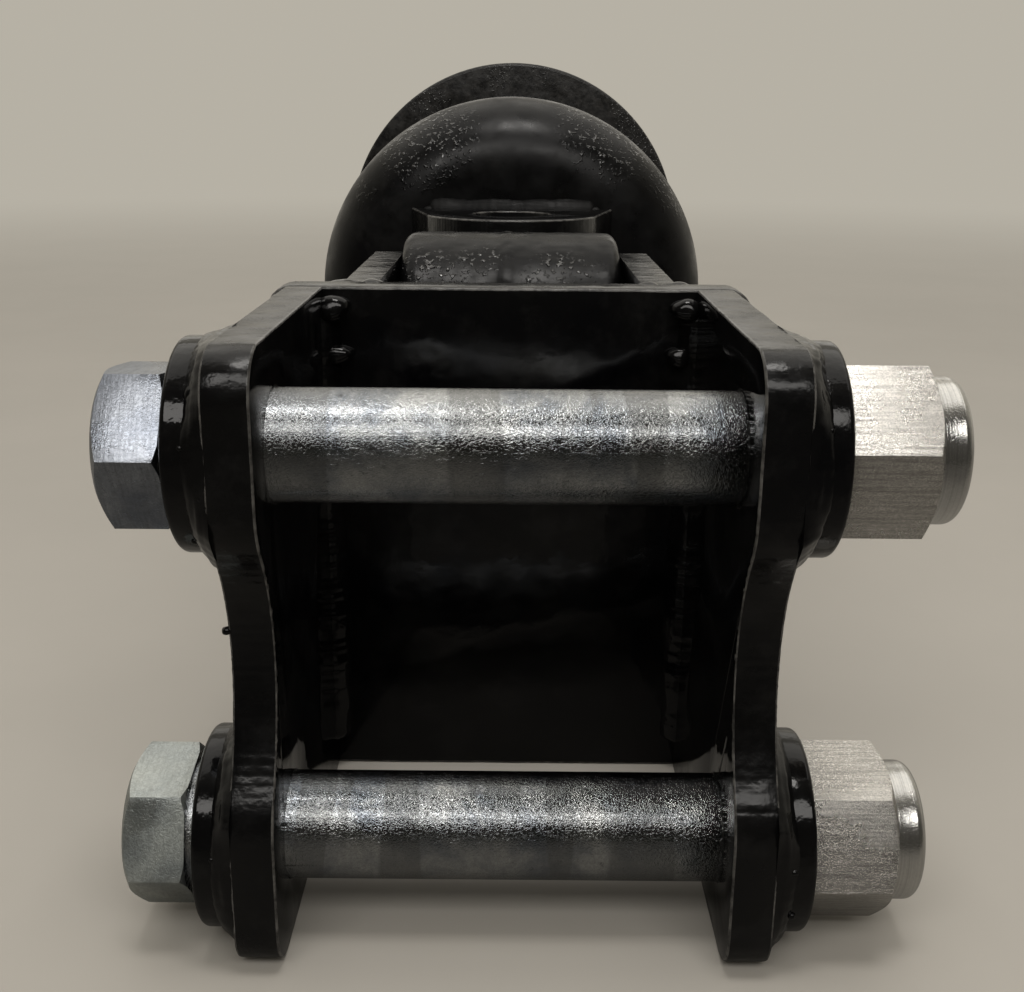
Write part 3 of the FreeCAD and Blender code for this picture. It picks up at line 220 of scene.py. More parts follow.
def stretched(tree, place, across, along, up):
    """Coordinates scaled by a different amount along each axis."""
    return wire(tree, "Mapping", {"Vector": place, "Scale": (across, along, up)}).outputs["Vector"]


def grain(tree, place, scale, detail=2.0, rough=0.5, warp=0.0):
    """Noise from 0 to 1. The scale is in features per metre."""
    return wire(tree, "TexNoise", {"Vector": place, "Scale": scale, "Detail": detail,
                                   "Roughness": rough, "Distortion": warp}).outputs["Fac"]


def stepped(tree, value, low, high, start=0.0, end=1.0, ease="LINEAR"):
    """Maps low..high of a value to start..end, held at both ends."""
    return wire(tree, "MapRange", {"Value": value, "From Min": low, "From Max": high,
                                   "To Min": start, "To Max": end}, interpolation_type=ease).outputs["Result"]


def sums(tree, operation, first, second):
    """One number made of two by the operation that is named."""
    made = wire(tree, "Math", operation=operation)
    for socket, value in zip(made.inputs, (first, second)):
        if isinstance(value, bpy.types.NodeSocket):
            tree.links.new(value, socket)
        else:
            socket.default_value = value
    return made.outputs[0]


def mixed(tree, factor, first, second):
    """A colour between two colours."""
    made = wire(tree, "Mix", data_type="RGBA")
    for index, value in ((0, factor), (6, first), (7, second)):
        if isinstance(value, bpy.types.NodeSocket):
            tree.links.new(value, made.inputs[index])
        elif index:
            made.inputs[index].default_value = (*value, 1)
        else:
            made.inputs[index].default_value = value
    return made.outputs[2]


def raised(tree, height, distance, strength=1.0, under=None):
    """Bump of a real height in metres, on top of what lies under it."""
    made = wire(tree, "Bump", {"Height": height, "Distance": distance, "Strength": strength})
    if under:
        tree.links.new(under, made.inputs["Normal"])
    return made.outputs["Normal"]


def black_enamel(name, peel=1.0, dents=1.0, nibs=0.0, cast=0.0, soft=0.0, shine=0.3, worn=0.0, lines=None,
                 dusty=()):
    """Thick black enamel: orange peel, scuffs and, where dust fell in it, clusters of nibs.

    dents are the shallow dips in it, cast roughens it for a casting, soft blurs its gloss and shine is how strong
    that is, worn thins it to grey and lines shows cutting lines through it.
    dusty gives the centre and reach of each cluster; without it they are scattered."""
    thick_black, thin_black = (0.0013, 0.0013, 0.0017), (0.0030, 0.0029, 0.0028)
    scuffed, worn_grey = (0.022, 0.0215, 0.021), (0.30, 0.29, 0.275)
    nib_shine = 0.9
    finish, tree, shader, place = new_finish(name)
    shader.inputs["Specular IOR Level"].default_value = shine
    cloud = grain(tree, place, 35, 3)
    colour = mixed(tree, stepped(tree, cloud, 0.35, 0.7), thick_black, thin_black)
    scuff = stepped(tree, grain(tree, place, 75, 7, 0.72), 0.50, 0.85)
    colour = mixed(tree, sums(tree, "MULTIPLY", scuff, 0.4 + cast), colour, scuffed)
    if worn:
        rubbed = stepped(tree, grain(tree, place, 260, 5, 0.7), 0.40, 0.62, 0.2 * worn, worn)
        colour = mixed(tree, rubbed, colour, worn_grey)
    tree.links.new(colour, shader.inputs["Base Color"])
    smear = sums(tree, "MAXIMUM", grain(tree, place, 90, 4, 0.6), scuff)
    gloss = stepped(tree, smear, 0.3, 0.9, 0.05 + soft + 0.16 * cast, 0.26 + 2 * soft + 0.3 * cast)
    waves = raised(tree, grain(tree, place, 85, 1.5), 0.8 * MM, 0.40 * peel)
    surface = raised(tree, grain(tree, place, 240, 3, 0.55), 0.16 * MM, 0.5 * dents, waves)
    if nibs:
        clusters = stepped(tree, grain(tree, place, 20, 2), 0.48, 0.58)
        for centre, reach in dusty:
            gap = wire(tree, "VectorMath", {0: place, 1: centre}, operation="DISTANCE").outputs["Value"]
            near = stepped(tree, gap, 0.4 * reach, reach, 1, 0)
            clusters = sums(tree, "MAXIMUM", clusters, near) if centre != dusty[0][0] else near
        pebbles = sums(tree, "MULTIPLY", stepped(tree, grain(tree, place, 600, 1), 0.56, 0.72), clusters)
        surface = raised(tree, pebbles, 0.45 * MM, nibs, surface)
        tree.links.new(stepped(tree, pebbles, 0.1, 0.6, shine, nib_shine), shader.inputs["Specular IOR Level"])
        gloss = sums(tree, "MULTIPLY", gloss, stepped(tree, pebbles, 0, 0.3, 1, 0.3))
    if cast:
        surface = raised(tree, grain(tree, place, 520, 5, 0.65), 0.5 * MM, cast, surface)
    if lines:
        surface = raised(tree, grain(tree, stretched(tree, place, *lines), 1, 3), 0.10 * MM, 0.2, surface)
    tree.links.new(gloss, shader.inputs["Roughness"])
    tree.links.new(surface, shader.inputs["Normal"])
    return finish


def shaded(tint, *shares):
    """A colour times one share, or times a share each for red, green and blue."""
    return tuple(part * share for part, share in zip(tint, shares if len(shares) == 3 else 3 * shares))


def zinc_plate(name, tint, rough, crinkle, size=1500, mottle=1.0, pepper=0.3, lines=None, score=0.5, bands=0.0):
    """Zinc plating: crystal crinkle, bright and dull patches, stains, scuffs, and turning or milling lines.

    size is the crystals per metre, mottle how patchy and stained it is, pepper how dark the crystals' gaps are and
    score how deep its lines are. bands are the darker rings round it, with sharp edges along it."""
    finish, tree, shader, place = new_finish(name)
    shader.inputs["Metallic"].default_value = 1.0
    patch = grain(tree, place, 55, 6, 0.62, 0.4)
    film = stepped(tree, grain(tree, place, 30, 5, 0.6), 0.50, 0.58)
    facets = grain(tree, place, size, 2, 0.55, 1.2)
    bright = shaded(tint, 1 + 0.12 * mottle)
    dark = shaded(tint, 1 - 0.45 * mottle, 1 - 0.42 * mottle, 1 - 0.36 * mottle)
    colour = mixed(tree, stepped(tree, patch, 0.38, 0.60), dark, bright)
    if bands:
        ring = stepped(tree, grain(tree, stretched(tree, place, 75, 7, 7), 1, 2, 0.5, 0.15), 0.52, 0.545, 0, bands)
        colour = mixed(tree, ring, colour, shaded(tint, 0.45))
    stain = stepped(tree, grain(tree, place, 380, 6, 0.75), 0.60, 0.74)
    colour = mixed(tree, stain, colour, shaded(tint, 1 - 0.7 * mottle))
    if lines:
        scored = grain(tree, stretched(tree, place, *lines), 1, 3, 0.6)
        colour = mixed(tree, stepped(tree, scored, 0.42, 0.66, 0, 0.8 * score), colour, shaded(tint, 0.45))
    colour = mixed(tree, stepped(tree, facets, 0.40, 0.60, pepper, 0), colour, shaded(tint, 0.35))
    tree.links.new(colour, shader.inputs["Base Color"])
    patchy = stepped(tree, patch, 0.35, 0.62, (1 - 0.3 * mottle) * rough, (1 + 0.1 * mottle) * rough)
    filmy = stepped(tree, film, 0, 1, 0, 0.7 * rough * mottle)
    tree.links.new(sums(tree, "ADD", patchy, filmy), shader.inputs["Roughness"])
    surface = raised(tree, grain(tree, place, 160, 2), 0.12 * MM, 0.35 * mottle)
    surface = raised(tree, stepped(tree, facets, 0.38, 0.62), 0.06 * MM, crinkle, surface)
    surface = raised(tree, grain(tree, place, 2.6 * size, 2), 0.02 * MM, 0.8 * crinkle, surface)
    if lines:
        surface = raised(tree, scored, 0.06 * MM, score, surface)
    scratch = grain(tree, stretched(tree, place, 160, 900, 900), 1, 1, 0.4, 2.5)
    surface = raised(tree, stepped(tree, scratch, 0.68, 0.72), 0.05 * MM, 0.4 * mottle, surface)
    tree.links.new(surface, shader.inputs["Normal"])
    return finish


def bare_metal(name, tint, rough, lines=None):
    """Machined metal, with its cutting lines where it has them."""
    finish, tree, shader, place = new_finish(name)
    shader.inputs["Metallic"].default_value = 1.0
    patch = grain(tree, place, 60, 3)
    tree.links.new(mixed(tree, patch, shaded(tint, 0.75), tint), shader.inputs["Base Color"])
    tree.links.new(stepped(tree, patch, 0.3, 0.7, 0.8 * rough, 1.3 * rough), shader.inputs["Roughness"])
    surface = raised(tree, grain(tree, place, 900, 2), 0.03 * MM, 0.3)
    if lines:
        surface = raised(tree, grain(tree, stretched(tree, place, *lines), 1, 2), 0.05 * MM, 0.5, surface)
    tree.links.new(surface, shader.inputs["Normal"])
    return finish


def dull(name, tint, rough, scale):
    """Rubber: no metal, a fine matt skin. The scale is in features per metre."""
    finish, tree, shader, place = new_finish(name)
    cloud = grain(tree, place, scale, 3)
    tree.links.new(mixed(tree, cloud, shaded(tint, 0.7), tint), shader.inputs["Base Color"])
    tree.links.new(stepped(tree, cloud, 0.3, 0.7, 0.8 * rough, 1.2 * rough), shader.inputs["Roughness"])
    tree.links.new(raised(tree, grain(tree, place, 4 * scale, 2), 0.05 * MM, 0.4), shader.inputs["Normal"])
    return finish


ENAMEL = black_enamel("enamel_on_plate", dents=0.4)
ENAMEL_INSIDE = black_enamel("enamel_inside_cheek", peel=0.25, dents=0.05, soft=-0.04)
ENAMEL_ARRIS = black_enamel("enamel_on_arris", dents=0.5, soft=0.05, worn=0.30)
ENAMEL_BOSS = black_enamel("enamel_on_boss", peel=1.2, dents=2.0)
ENAMEL_CUT = [black_enamel("enamel_on_cut_edge_" + "xyz"[axis], peel=1.6, dents=2.8, soft=0.08,
                           lines=[25 if axis == index else 800 for index in range(3)]) for axis in range(3)]
ENAMEL_WELD = black_enamel("enamel_on_weld", peel=0.8, dents=1.6)
ENAMEL_SEAM = black_enamel("enamel_on_hood_seam", peel=0.6, dents=0.3, soft=0.30, shine=0.15)
ENAMEL_FLANGE = black_enamel("enamel_on_flange", dents=3.0, nibs=0.8, soft=0.15, worn=0.08)
ENAMEL_HOOD = black_enamel("enamel_on_hood", peel=0.5, dents=0.3, nibs=1.0, soft=0.16, shine=0.22,
                           dusty=[((-0.036, -0.505, 0.066), 0.026), ((0.040, -0.500, 0.068), 0.026),
                                  ((0.062, -0.490, 0.044), 0.022), ((-0.056, -0.500, 0.040), 0.014)])
ENAMEL_CAST = black_enamel("enamel_on_casting", dents=0.5, nibs=0.5, cast=0.3)
ENAMEL_KNUCKLE = black_enamel("enamel_on_knuckle", peel=0.6, dents=0.5, nibs=0.9, cast=0.05, soft=0.12, shine=0.15,
                              lines=(35, 1300, 1300),
                              dusty=[((-0.030, -0.640, 0.024), 0.018), ((0.016, -0.640, 0.028), 0.014),
                                     ((-0.010, -0.635, 0.034), 0.010)])
ZINC_PIN = zinc_plate("zinc_pin", (0.42, 0.43, 0.43), 0.14, 0.6, size=1700, mottle=1.15, lines=(2200, 6, 6),
                      score=0.15, bands=0.6)
ZINC_HEAD = [zinc_plate("zinc_head_bright", (0.30, 0.32, 0.355), 0.27, 0.25, size=1500, mottle=0.8,
                        lines=(1700, 150, 150), score=0.5),
             zinc_plate("zinc_head_dull", (0.58, 0.61, 0.58), 0.42, 0.5, size=1300, mottle=0.6,
                        lines=(1700, 150, 150), score=0.3)]
# Painted highlight: a lighter zinc for the heads' arrises, where the edges catch the light.
ZINC_ARRIS_HIGHLIGHT = zinc_plate("zinc_arris_painted_highlight", (0.66, 0.68, 0.70), 0.28, 0.9, size=1800, mottle=0.3)
ZINC_NUT = zinc_plate("zinc_nut", (0.90, 0.87, 0.82), 0.26, 0.7, size=3000, mottle=0.10, pepper=0.6,
                      lines=(70, 1500, 1500), score=0.8)
ZINC_COLLAR = zinc_plate("zinc_nut_collar", (0.74, 0.73, 0.70), 0.17, 0.2, mottle=0.25, pepper=0.1,
                         lines=(2800, 8, 8), score=0.5)
ZINC_FITTING = zinc_plate("zinc_fitting", (0.46, 0.46, 0.45), 0.24, 0.5, mottle=0.6)
BARE_STEEL = bare_metal("bare_steel", (0.50, 0.50, 0.51), 0.22, (6, 1800, 6))
BUSH_BRONZE = bare_metal("bush_bronze", (0.62, 0.42, 0.19), 0.28)
BLACK_OXIDE = bare_metal("black_oxide", (0.06, 0.06, 0.065), 0.35)
SEAL_RUBBER = dull("seal_rubber", (0.02, 0.02, 0.02), 0.6, 300)


# ---------------------------------------------------------------- plates

def flame_cut(node, axis, wander=0.05, dross=0.0):
    """A plate with its arrises broken and a flame cut edge that wanders by that many millimetres.

    axis is the index of the direction that its thickness lies along. dross notches the arrises of its waist."""
    low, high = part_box(node)
    piece = copy_of(node, node + "_cut")
    mesh = bmesh.new()
    mesh.from_mesh(piece.data)
    mesh.normal_update()
    others = [face for face in mesh.faces
              if face.normal[axis] > -0.9 or face.calc_center_median()[axis] > low[axis] + 0.1 * MM]
    bmesh.ops.delete(mesh, geom=others, context="FACES")
    step = 0.8 * MM
    broad_wave, fine_wave = 140, 900
    for edge in [edge for edge in mesh.edges if edge.is_boundary and edge.calc_length() > 1.5 * step]:
        bmesh.ops.subdivide_edges(mesh, edges=[edge], cuts=int(edge.calc_length() / step))
    first, second = [index for index in range(3) if index != axis]
    for point in mesh.verts:
        sides = [edge for edge in point.link_edges if edge.is_boundary]
        if len(sides) != 2:
            continue
        along = sides[0].other_vert(point).co - sides[1].other_vert(point).co
        outwards = Vector((0, 0, 0))
        outwards[first] = along[second]
        outwards[second] = -along[first]
        amount = noise.noise(point.co * broad_wave) * 2 + noise.noise(point.co * fine_wave)
        point.co += outwards.normalized() * amount * wander * MM
    mesh.to_mesh(piece.data)
    mesh.free()
    thickness = Vector((0, 0, 0))
    thickness[axis] = high[axis] - low[axis]
    pick(piece)
    bpy.ops.object.mode_set(mode="EDIT")
    bpy.ops.mesh.select_all(action="SELECT")
    bpy.ops.mesh.extrude_region_move(TRANSFORM_OT_translate={"value": thickness})
    bpy.ops.mesh.select_all(action="SELECT")
    bpy.ops.mesh.normals_make_consistent(inside=False)
    bpy.ops.object.mode_set(mode="OBJECT")
    soften(piece, 0.7 * MM, 2, 50)
    if dross:
        notch_arrises(piece, axis, dross)
    hand_over(piece, ENAMEL, node)
    refinish(piece, ENAMEL_CUT[axis], lambda face: abs(face.normal[axis]) < 0.5)
    refinish(piece, ENAMEL_ARRIS, lambda face: 0.25 < abs(face.normal[axis]) < 0.97)
    if axis == 0:
        refinish(piece, ENAMEL_INSIDE, lambda face: face.normal.x * math.copysign(1, low.x) < -0.97)


def notch_arrises(piece, axis, depth):
    """Small notches along the arrises between a plate's faces and its waist."""
    flats = set()
    rims = set()
    for face in piece.data.polygons:
        (flats if abs(face.normal[axis]) > 0.99 else rims).update(face.vertices)
    middle = (DIPPER_PIN.z + LINK_PIN.z) / 2
    waist_reach = 32 * MM
    for index in flats & rims:
        point = piece.data.vertices[index]
        near_waist = max(0, 1 - ((point.co.z - middle) / waist_reach) ** 4)
        if point.co.y < DIPPER_PIN.y:
            bite = max(0, noise.noise(point.co * 1100) + 0.2) * near_waist * depth * MM
            point.co[axis] -= math.copysign(bite, point.normal[axis])


def turned_piece(node, finish, edge=0.5 * MM):
    """A turned or milled piece with its edges broken."""
    piece = copy_of(node, node + "_finished")
    soften(piece, edge, 2, 30)
    hand_over(piece, finish, node)
    return piece


def turned_blank(name, profile):
    """Turns a profile of (x, radius) round the X axis."""
    mesh = bmesh.new()
    points = [mesh.verts.new((x, radius, 0)) for x, radius in profile]
    edges = [mesh.edges.new(pair) for pair in zip(points, points[1:])]
    bmesh.ops.spin(mesh, geom=points + edges, cent=(0, 0, 0), axis=(1, 0, 0), angle=math.tau, steps=96,
                   use_merge=True)
    bmesh.ops.remove_doubles(mesh, verts=mesh.verts, dist=0.001 * MM)
    bmesh.ops.recalc_face_normals(mesh, faces=mesh.faces)
    data = bpy.data.meshes.new(name)
    mesh.to_mesh(data)
    mesh.free()
    blank = bpy.data.objects.new(name, data)
    bpy.context.scene.collection.objects.link(blank)
    return blank


def forged_head(start, end, across, turn):
    """A pin's forged head along X: its corners are turned off, widely outside and little underneath."""
    bpy.ops.mesh.primitive_cylinder_add(vertices=6, radius=across / math.sqrt(3), depth=end - start,
                                        location=((start + end) / 2, 0, 0), rotation=(0, math.pi / 2, 0))
    head = new_piece("forged_head")
    settle(head)
    head.data.transform(Matrix.Rotation(turn, 4, "X"))
    corner = across / math.sqrt(3) + 0.2 * MM
    face = 0.47 * across
    under = 0.53 * across
    chamfer_angle = 30
    slope = math.tan(math.radians(chamfer_angle))
    blank = turned_blank("head_blank", ((start, 0), (start, face), (start + (corner - face) * slope, corner),
                                        (end - (corner - under) * slope, corner), (end, under), (end, 0)))
    cut_away(head, blank, "INTERSECT")
    return head


def hitch_pin(node):
    """A headed pin: its head has a coarser plating than its shank, and a painted highlight along its arrises, which
    get a lighter zinc.

    The copy's own head is cut off and a forged head on a washer face takes its place."""
    low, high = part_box(node)
    bearing_face = low.x + HEAD_LENGTH
    underside = bearing_face - WASHER_FACE_HEIGHT
    lap = 1 * MM
    cutter_size = 50 * MM
    axis = Matrix.Translation((0, (low.y + high.y) / 2, (low.z + high.z) / 2))
    piece = copy_of(node, node + "_finished")
    corner = max((axis.inverted() @ point.co for point in piece.data.vertices if point.co.x < low.x + 12 * MM),
                 key=lambda point: point.yz.length)
    cutter_middle = bearing_face - lap / 2 - cutter_size / 2
    bpy.ops.mesh.primitive_cube_add(size=cutter_size, location=axis @ Vector((cutter_middle, 0, 0)))
    old_head = new_piece("old_head")
    settle(old_head)
    cut_away(piece, old_head)
    head = forged_head(low.x, underside, HEAD_ACROSS_FLATS, math.atan2(corner.z, corner.y))
    head.data.transform(axis)
    cut_away(piece, head, "UNION")
    washer_face = turned_blank("washer_face", ((underside - lap, 0), (underside - lap, WASHER_FACE_RADIUS),
                                               (bearing_face, WASHER_FACE_RADIUS), (bearing_face, 0)))
    washer_face.data.transform(axis)
    cut_away(piece, washer_face, "UNION")
    soften(piece, 0.6 * MM, 2, 24)
    hand_over(piece, ZINC_PIN, node)
    refinish(piece, ZINC_HEAD[node == "link_pin"], lambda face: face.center.x < underside)
    # Painted highlight along the head's arrises.
    refinish(piece, ZINC_ARRIS_HIGHLIGHT, lambda face: face.center.x < underside - 0.5 * MM and is_arris(face))


def lock_nut(node):
    """A lock nut: milled hexagon, turned collar."""
    piece = turned_piece(node, ZINC_NUT, 0.4 * MM)
    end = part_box(node)[1].x - NUT_COLLAR_LENGTH
    refinish(piece, ZINC_COLLAR, lambda face: face.center.x > end)


# ---------------------------------------------------------------- weld beads

def bead(name, seam, length, leg, seed, crown=0.6, closed=False):
    """A painted fillet weld: low overlapping crescents along a seam, sunk a little into both plates.

    seam(u) gives, at the share u of its length, the corner and the two legs as vectors. leg is their usual length,
    crown how far the face bulges and closed joins the bead's two ends."""
    around = 10
    row_spacing = 0.6 * MM
    ripple = 0.7 * MM
    steps = int(length / row_spacing)
    shift = Vector((seed * 3.7, seed * 1.3, 0))
    mesh = bmesh.new()
    rows = []
    for index in range(steps + 1):
        u = index / steps
        corner, first, second = seam(u)
        shade = corner / MM + shift * 10
        crest = 0.5 + 0.5 * math.sin(u * length / ripple + 5 * noise.noise(shade * 0.13))
        swell = 1 + 0.20 * noise.noise(shade * 0.10) + 0.05 * crest * crown + 0.05 * noise.noise(shade * 0.6)
        end = min(u, 1 - u) * length / (0.8 * leg)
        if not closed and end < 1:
            swell *= math.sqrt(1 - (1 - end) ** 2) * 0.95 + 0.05
        outwards = (first.normalized() + second.normalized()).normalized()
        row = []
        for number in range(around + 1):
            share = number / around * 1.2 - 0.1
            ridge = 0.3 * noise.noise(Vector((share * 4 + seed, 0, u * length / (9 * MM))))
            bulge = (crown + ridge) * share * (1 - share) * leg
            place = corner + (first * (1 - share) + second * share + outwards * bulge) * swell
            row.append(mesh.verts.new(place))
        row.append(mesh.verts.new(corner - (first + second) * 0.14))
        rows.append(row)
    if closed:
        rows[-1] = rows[0]
    count = around + 2
    for here, there in zip(rows, rows[1:]):
        for number in range(count):
            after = (number + 1) % count
            mesh.faces.new((here[number], here[after], there[after], there[number]))
    if not closed:
        mesh.faces.new(rows[0])
        mesh.faces.new(rows[-1])
    bmesh.ops.recalc_face_normals(mesh, faces=mesh.faces)
    loose = [point for point in mesh.verts if not point.link_faces]
    bmesh.ops.delete(mesh, geom=loose, context="VERTS")
    data = bpy.data.meshes.new(name)
    mesh.to_mesh(data)
    mesh.free()
    piece = bpy.data.objects.new(name, data)
    bpy.context.collection.objects.link(piece)
    pick(piece)
    bpy.ops.object.shade_smooth_by_angle(angle=math.radians(60))
    return piece


def straight_bead(name, start, end, first, second, leg, seed):
    """A bead from start to end. first and second point along the two plates that it joins."""
    start, end, first, second = (Vector(v) for v in (start, end, first, second))
    return bead(name, lambda u: (start.lerp(end, u), first * leg, second * leg), (end - start).length, leg, seed)


def ring_bead(name, centre, axis, radius, outwards, leg, seed, crown=0.6, room=None):
    """A bead round a boss or a pipe. outwards points along it. room(spoke) limits the toe on the plate."""
    centre = Vector(centre)
    axis = Vector(axis).normalized()
    side = axis.orthogonal().normalized()
    other = axis.cross(side)
    outwards = Vector(outwards)

    def seam(u):
        turn = 2 * math.pi * u
        spoke = side * math.cos(turn) + other * math.sin(turn)
        toe = min(leg, room(spoke)) if room else leg
        return centre + spoke * radius, spoke * toe, outwards * leg

    return bead(name, seam, 2 * math.pi * radius, leg, seed, crown, closed=True)


def weld_lump(place, size, seed, fineness=4):
    """A lump of weld or paint, where a run was stopped or a drop stuck."""
    bpy.ops.mesh.primitive_ico_sphere_add(subdivisions=fineness, radius=1)
    piece = new_piece("weld_lump")
    for point in piece.data.vertices:
        swell = 1 + 0.22 * noise.noise(point.co * 0.9 + Vector((seed, 0, 0)))
        point.co = Vector(place) + Vector(part * swell * reach for part, reach in zip(point.co, size))
    pick(piece)
    bpy.ops.object.shade_smooth()
    return piece


def spatter(side, pin, radius, face):
    """Small drops of weld that stuck round the front of a boss and its seam."""
    drops = []
    drop_count = 9
    for number in range(drop_count):
        turn = math.radians(random.uniform(-80, 80))
        size = random.uniform(0.35, 0.85) * MM
        out = face + random.uniform(0.2, 4.6) * MM
        reach = radius + max(0, 4 * MM - (out - face)) * 0.2
        drops.append(weld_lump((side * out, pin.y - math.cos(turn) * reach, pin.z + math.sin(turn) * reach),
                               (size * 1.2, size, size), number, 3))
    return drops


def cradle_welds():
    """Beads down the inner corners and up the outside, between the cheeks and the back plate."""
    low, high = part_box("hitch_welds")
    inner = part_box("side_plate_right")[0].x
    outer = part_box("side_plate_right")[1].x
    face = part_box("back_plate")[0].y
    beads = []
    for side in (-1, 1):
        for x, toe, leg, seed in ((inner, -side, 4.6 * MM, 1), (outer, side, 4.2 * MM, 5)):
            beads.append(straight_bead("cradle_seam", (side * x, face, low.z), (side * x, face, high.z),
                                       (toe, 0, 0), (0, -1, 0), leg, seed + side))
        for x, y, z, size in ((inner - 2.5 * MM, face - 1.5 * MM, high.z - 1.5 * MM, (4.6, 3.6, 3.6)),
                              (inner - 3.5 * MM, face - 1.2 * MM, high.z - 14 * MM, (4.2, 3.0, 2.6)),
                              (outer + 1.2 * MM, face - 1.0 * MM, high.z - 1.0 * MM, (3.2, 4.0, 3.0))):
            beads.append(weld_lump((side * x, y, z), [part * MM for part in size], 40 * x / MM + side))
    hand_over(join("cradle_weld_beads", beads), ENAMEL_WELD, "hitch_welds")


def boss_weld_rings():
    """The beads round the bosses. In front they just reach the cheek's arris, and at its corners they are full."""
    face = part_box("side_plate_right")[1].x
    edge = DIPPER_PIN.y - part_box("side_plate_right")[0].y
    boss_low, boss_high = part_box("boss_upper_right")
    radius = (boss_high.z - boss_low.z) / 2
    rings = []
    for side in (-1, 1):
        for number, (pin, end) in enumerate(((DIPPER_PIN, 1), (LINK_PIN, -1))):
            def room(spoke):
                ahead = max(0, -spoke.y) ** 4 + max(0, spoke.z * end) ** 4
                return edge / max(ahead, 0.001) ** 0.25 - radius - 0.1 * MM

            rings.append(ring_bead("boss_seam", (side * face, pin.y, pin.z), (1, 0, 0), radius, (side, 0, 0),
                                   4.4 * MM, 9 + 2 * number + side, 0.25, room))
        for pin in (DIPPER_PIN, LINK_PIN):
            rings.extend(spatter(side, pin, radius, face))
        rings.append(weld_lump((side * (face + 2.0 * MM), DIPPER_PIN.y - radius * 0.78, DIPPER_PIN.z + radius * 0.62),
                               (2.4 * MM, 1.8 * MM, 2.6 * MM), 60 + side))
        rings.append(weld_lump((side * (face + 1.6 * MM), LINK_PIN.y - radius * 0.70, LINK_PIN.z - radius * 0.70),
                               (2.2 * MM, 2.0 * MM, 2.4 * MM), 64 + side))
    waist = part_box("side_plate_left")[0].y + 13.5 * MM
    rings.append(weld_lump((-face - 0.3 * MM, waist, -31.8 * MM), (1.2 * MM, 1.1 * MM, 1.0 * MM), 71))
    hand_over(join("boss_weld_rings", rings), ENAMEL_WELD, "boss_welds")


def ear_welds():
    """Beads of the hitch's rear ears and of the hood's ears."""
    low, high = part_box("rear_ear_welds")
    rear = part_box("back_plate")[1].y
    ear_low, ear_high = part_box("rear_ear_right")
    beads = []
    for side in (-1, 1):
        for x, toe, seed in ((ear_high.x, side, 15), (ear_low.x, -side, 19)):
            beads.append(straight_bead("ear_seam", (side * x, rear, low.z), (side * x, rear, high.z),
                                       (toe, 0, 0), (0, 1, 0), 6.0 * MM, seed + side))
        for x, size in ((ear_low.x + 1 * MM, 3.4), (ear_high.x - 1 * MM, 4.4)):
            beads.append(weld_lump((side * x, rear + 2.5 * MM, ear_high.z),
                                   (size * MM, 3.4 * MM, 1.8 * MM), 80 + 9 * x / MM + side))
    hand_over(join("rear_ear_weld_beads", beads), ENAMEL_WELD, "rear_ear_welds")
    low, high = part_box("hood_ear_welds")
    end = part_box("hood_shell")[0].y
    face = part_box("hood_ear_upper")[1].z
    beads = []
    for side in (-1, 1):
        beads.append(straight_bead("hood_seam", (low.x, end, side * face), (high.x, end, side * face),
                                   (0, 0, side), (0, -1, 0), 3.6 * MM, 25 + side))
        for x in (low.x, high.x):
            beads.append(weld_lump((x, end - 2 * MM, side * (face - 5 * MM)), (3.4 * MM, 3.4 * MM, 6.0 * MM),
                                   90 + x / MM + side))
    hand_over(join("hood_ear_weld_beads", beads), ENAMEL_SEAM, "hood_ear_welds")


def hood_flange_weld():
    """The bead all round the hood's mouth."""
    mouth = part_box("hood_shell")[1].y
    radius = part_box("hood_shell")[1].z
    ring = ring_bead("hood_mouth_weld", (0, mouth, 0), (0, 1, 0), radius, (0, -1, 0), 6 * MM, 31)
    hand_over(ring, ENAMEL_WELD, "hood_flange_weld")


# ---------------------------------------------------------------- hood

def hood():
    """The pipe with its deep round corner, its wall and its hose window."""
    low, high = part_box("hood_shell")
    radius = high.z
    bpy.ops.mesh.primitive_cylinder_add(vertices=160, radius=radius, depth=high.y - low.y,
                                        location=(0, (low.y + high.y) / 2, 0), rotation=(math.pi / 2, 0, 0))
    piece = new_piece("hood_pressing")
    settle(piece)
    bpy.ops.object.mode_set(mode="EDIT")
    bpy.ops.mesh.select_all(action="DESELECT")
    mesh = bmesh.from_edit_mesh(piece.data)
    mouth = [face for face in mesh.faces if face.normal.y > 0.9]
    bmesh.ops.delete(mesh, geom=mouth, context="FACES_ONLY")
    for edge in mesh.edges:
        edge.select = all(abs(point.co.y - low.y) < 0.01 * MM for point in edge.verts)
    bmesh.update_edit_mesh(piece.data)
    bpy.ops.mesh.bevel(offset=HOOD_CORNER_RADIUS, segments=14, affect="EDGES")
    bpy.ops.object.mode_set(mode="OBJECT")
    solid = piece.modifiers.new("wall", "SOLIDIFY")
    solid.thickness = HOOD_WALL
    solid.offset = -1
    solid.use_even_offset = True
    apply_modifiers(piece)
    port_a, port_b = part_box("port_adapter_a"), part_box("port_adapter_b")
    middle = (port_a[0].y + port_b[1].y) / 2
    bpy.ops.mesh.primitive_cube_add(size=1, location=(radius, middle, 0))
    window = new_piece("window_cutter")
    window.scale = (radius, HOSE_WINDOW_LENGTH, HOSE_WINDOW_HEIGHT)
    settle(window)
    bpy.ops.object.mode_set(mode="EDIT")
    bpy.ops.mesh.select_all(action="DESELECT")
    mesh = bmesh.from_edit_mesh(window.data)
    for edge in mesh.edges:
        run = edge.verts[0].co - edge.verts[1].co
        edge.select = abs(run.x) > 10 * MM
    bmesh.update_edit_mesh(window.data)
    bpy.ops.mesh.bevel(offset=HOSE_WINDOW_CORNER, segments=10, affect="EDGES")
    bpy.ops.object.mode_set(mode="OBJECT")
    cut_away(piece, window)
    soften(piece, 0.8 * MM, 2, 40)
    hand_over(piece, ENAMEL_HOOD, "hood_shell")


# ---------------------------------------------------------------- knuckle

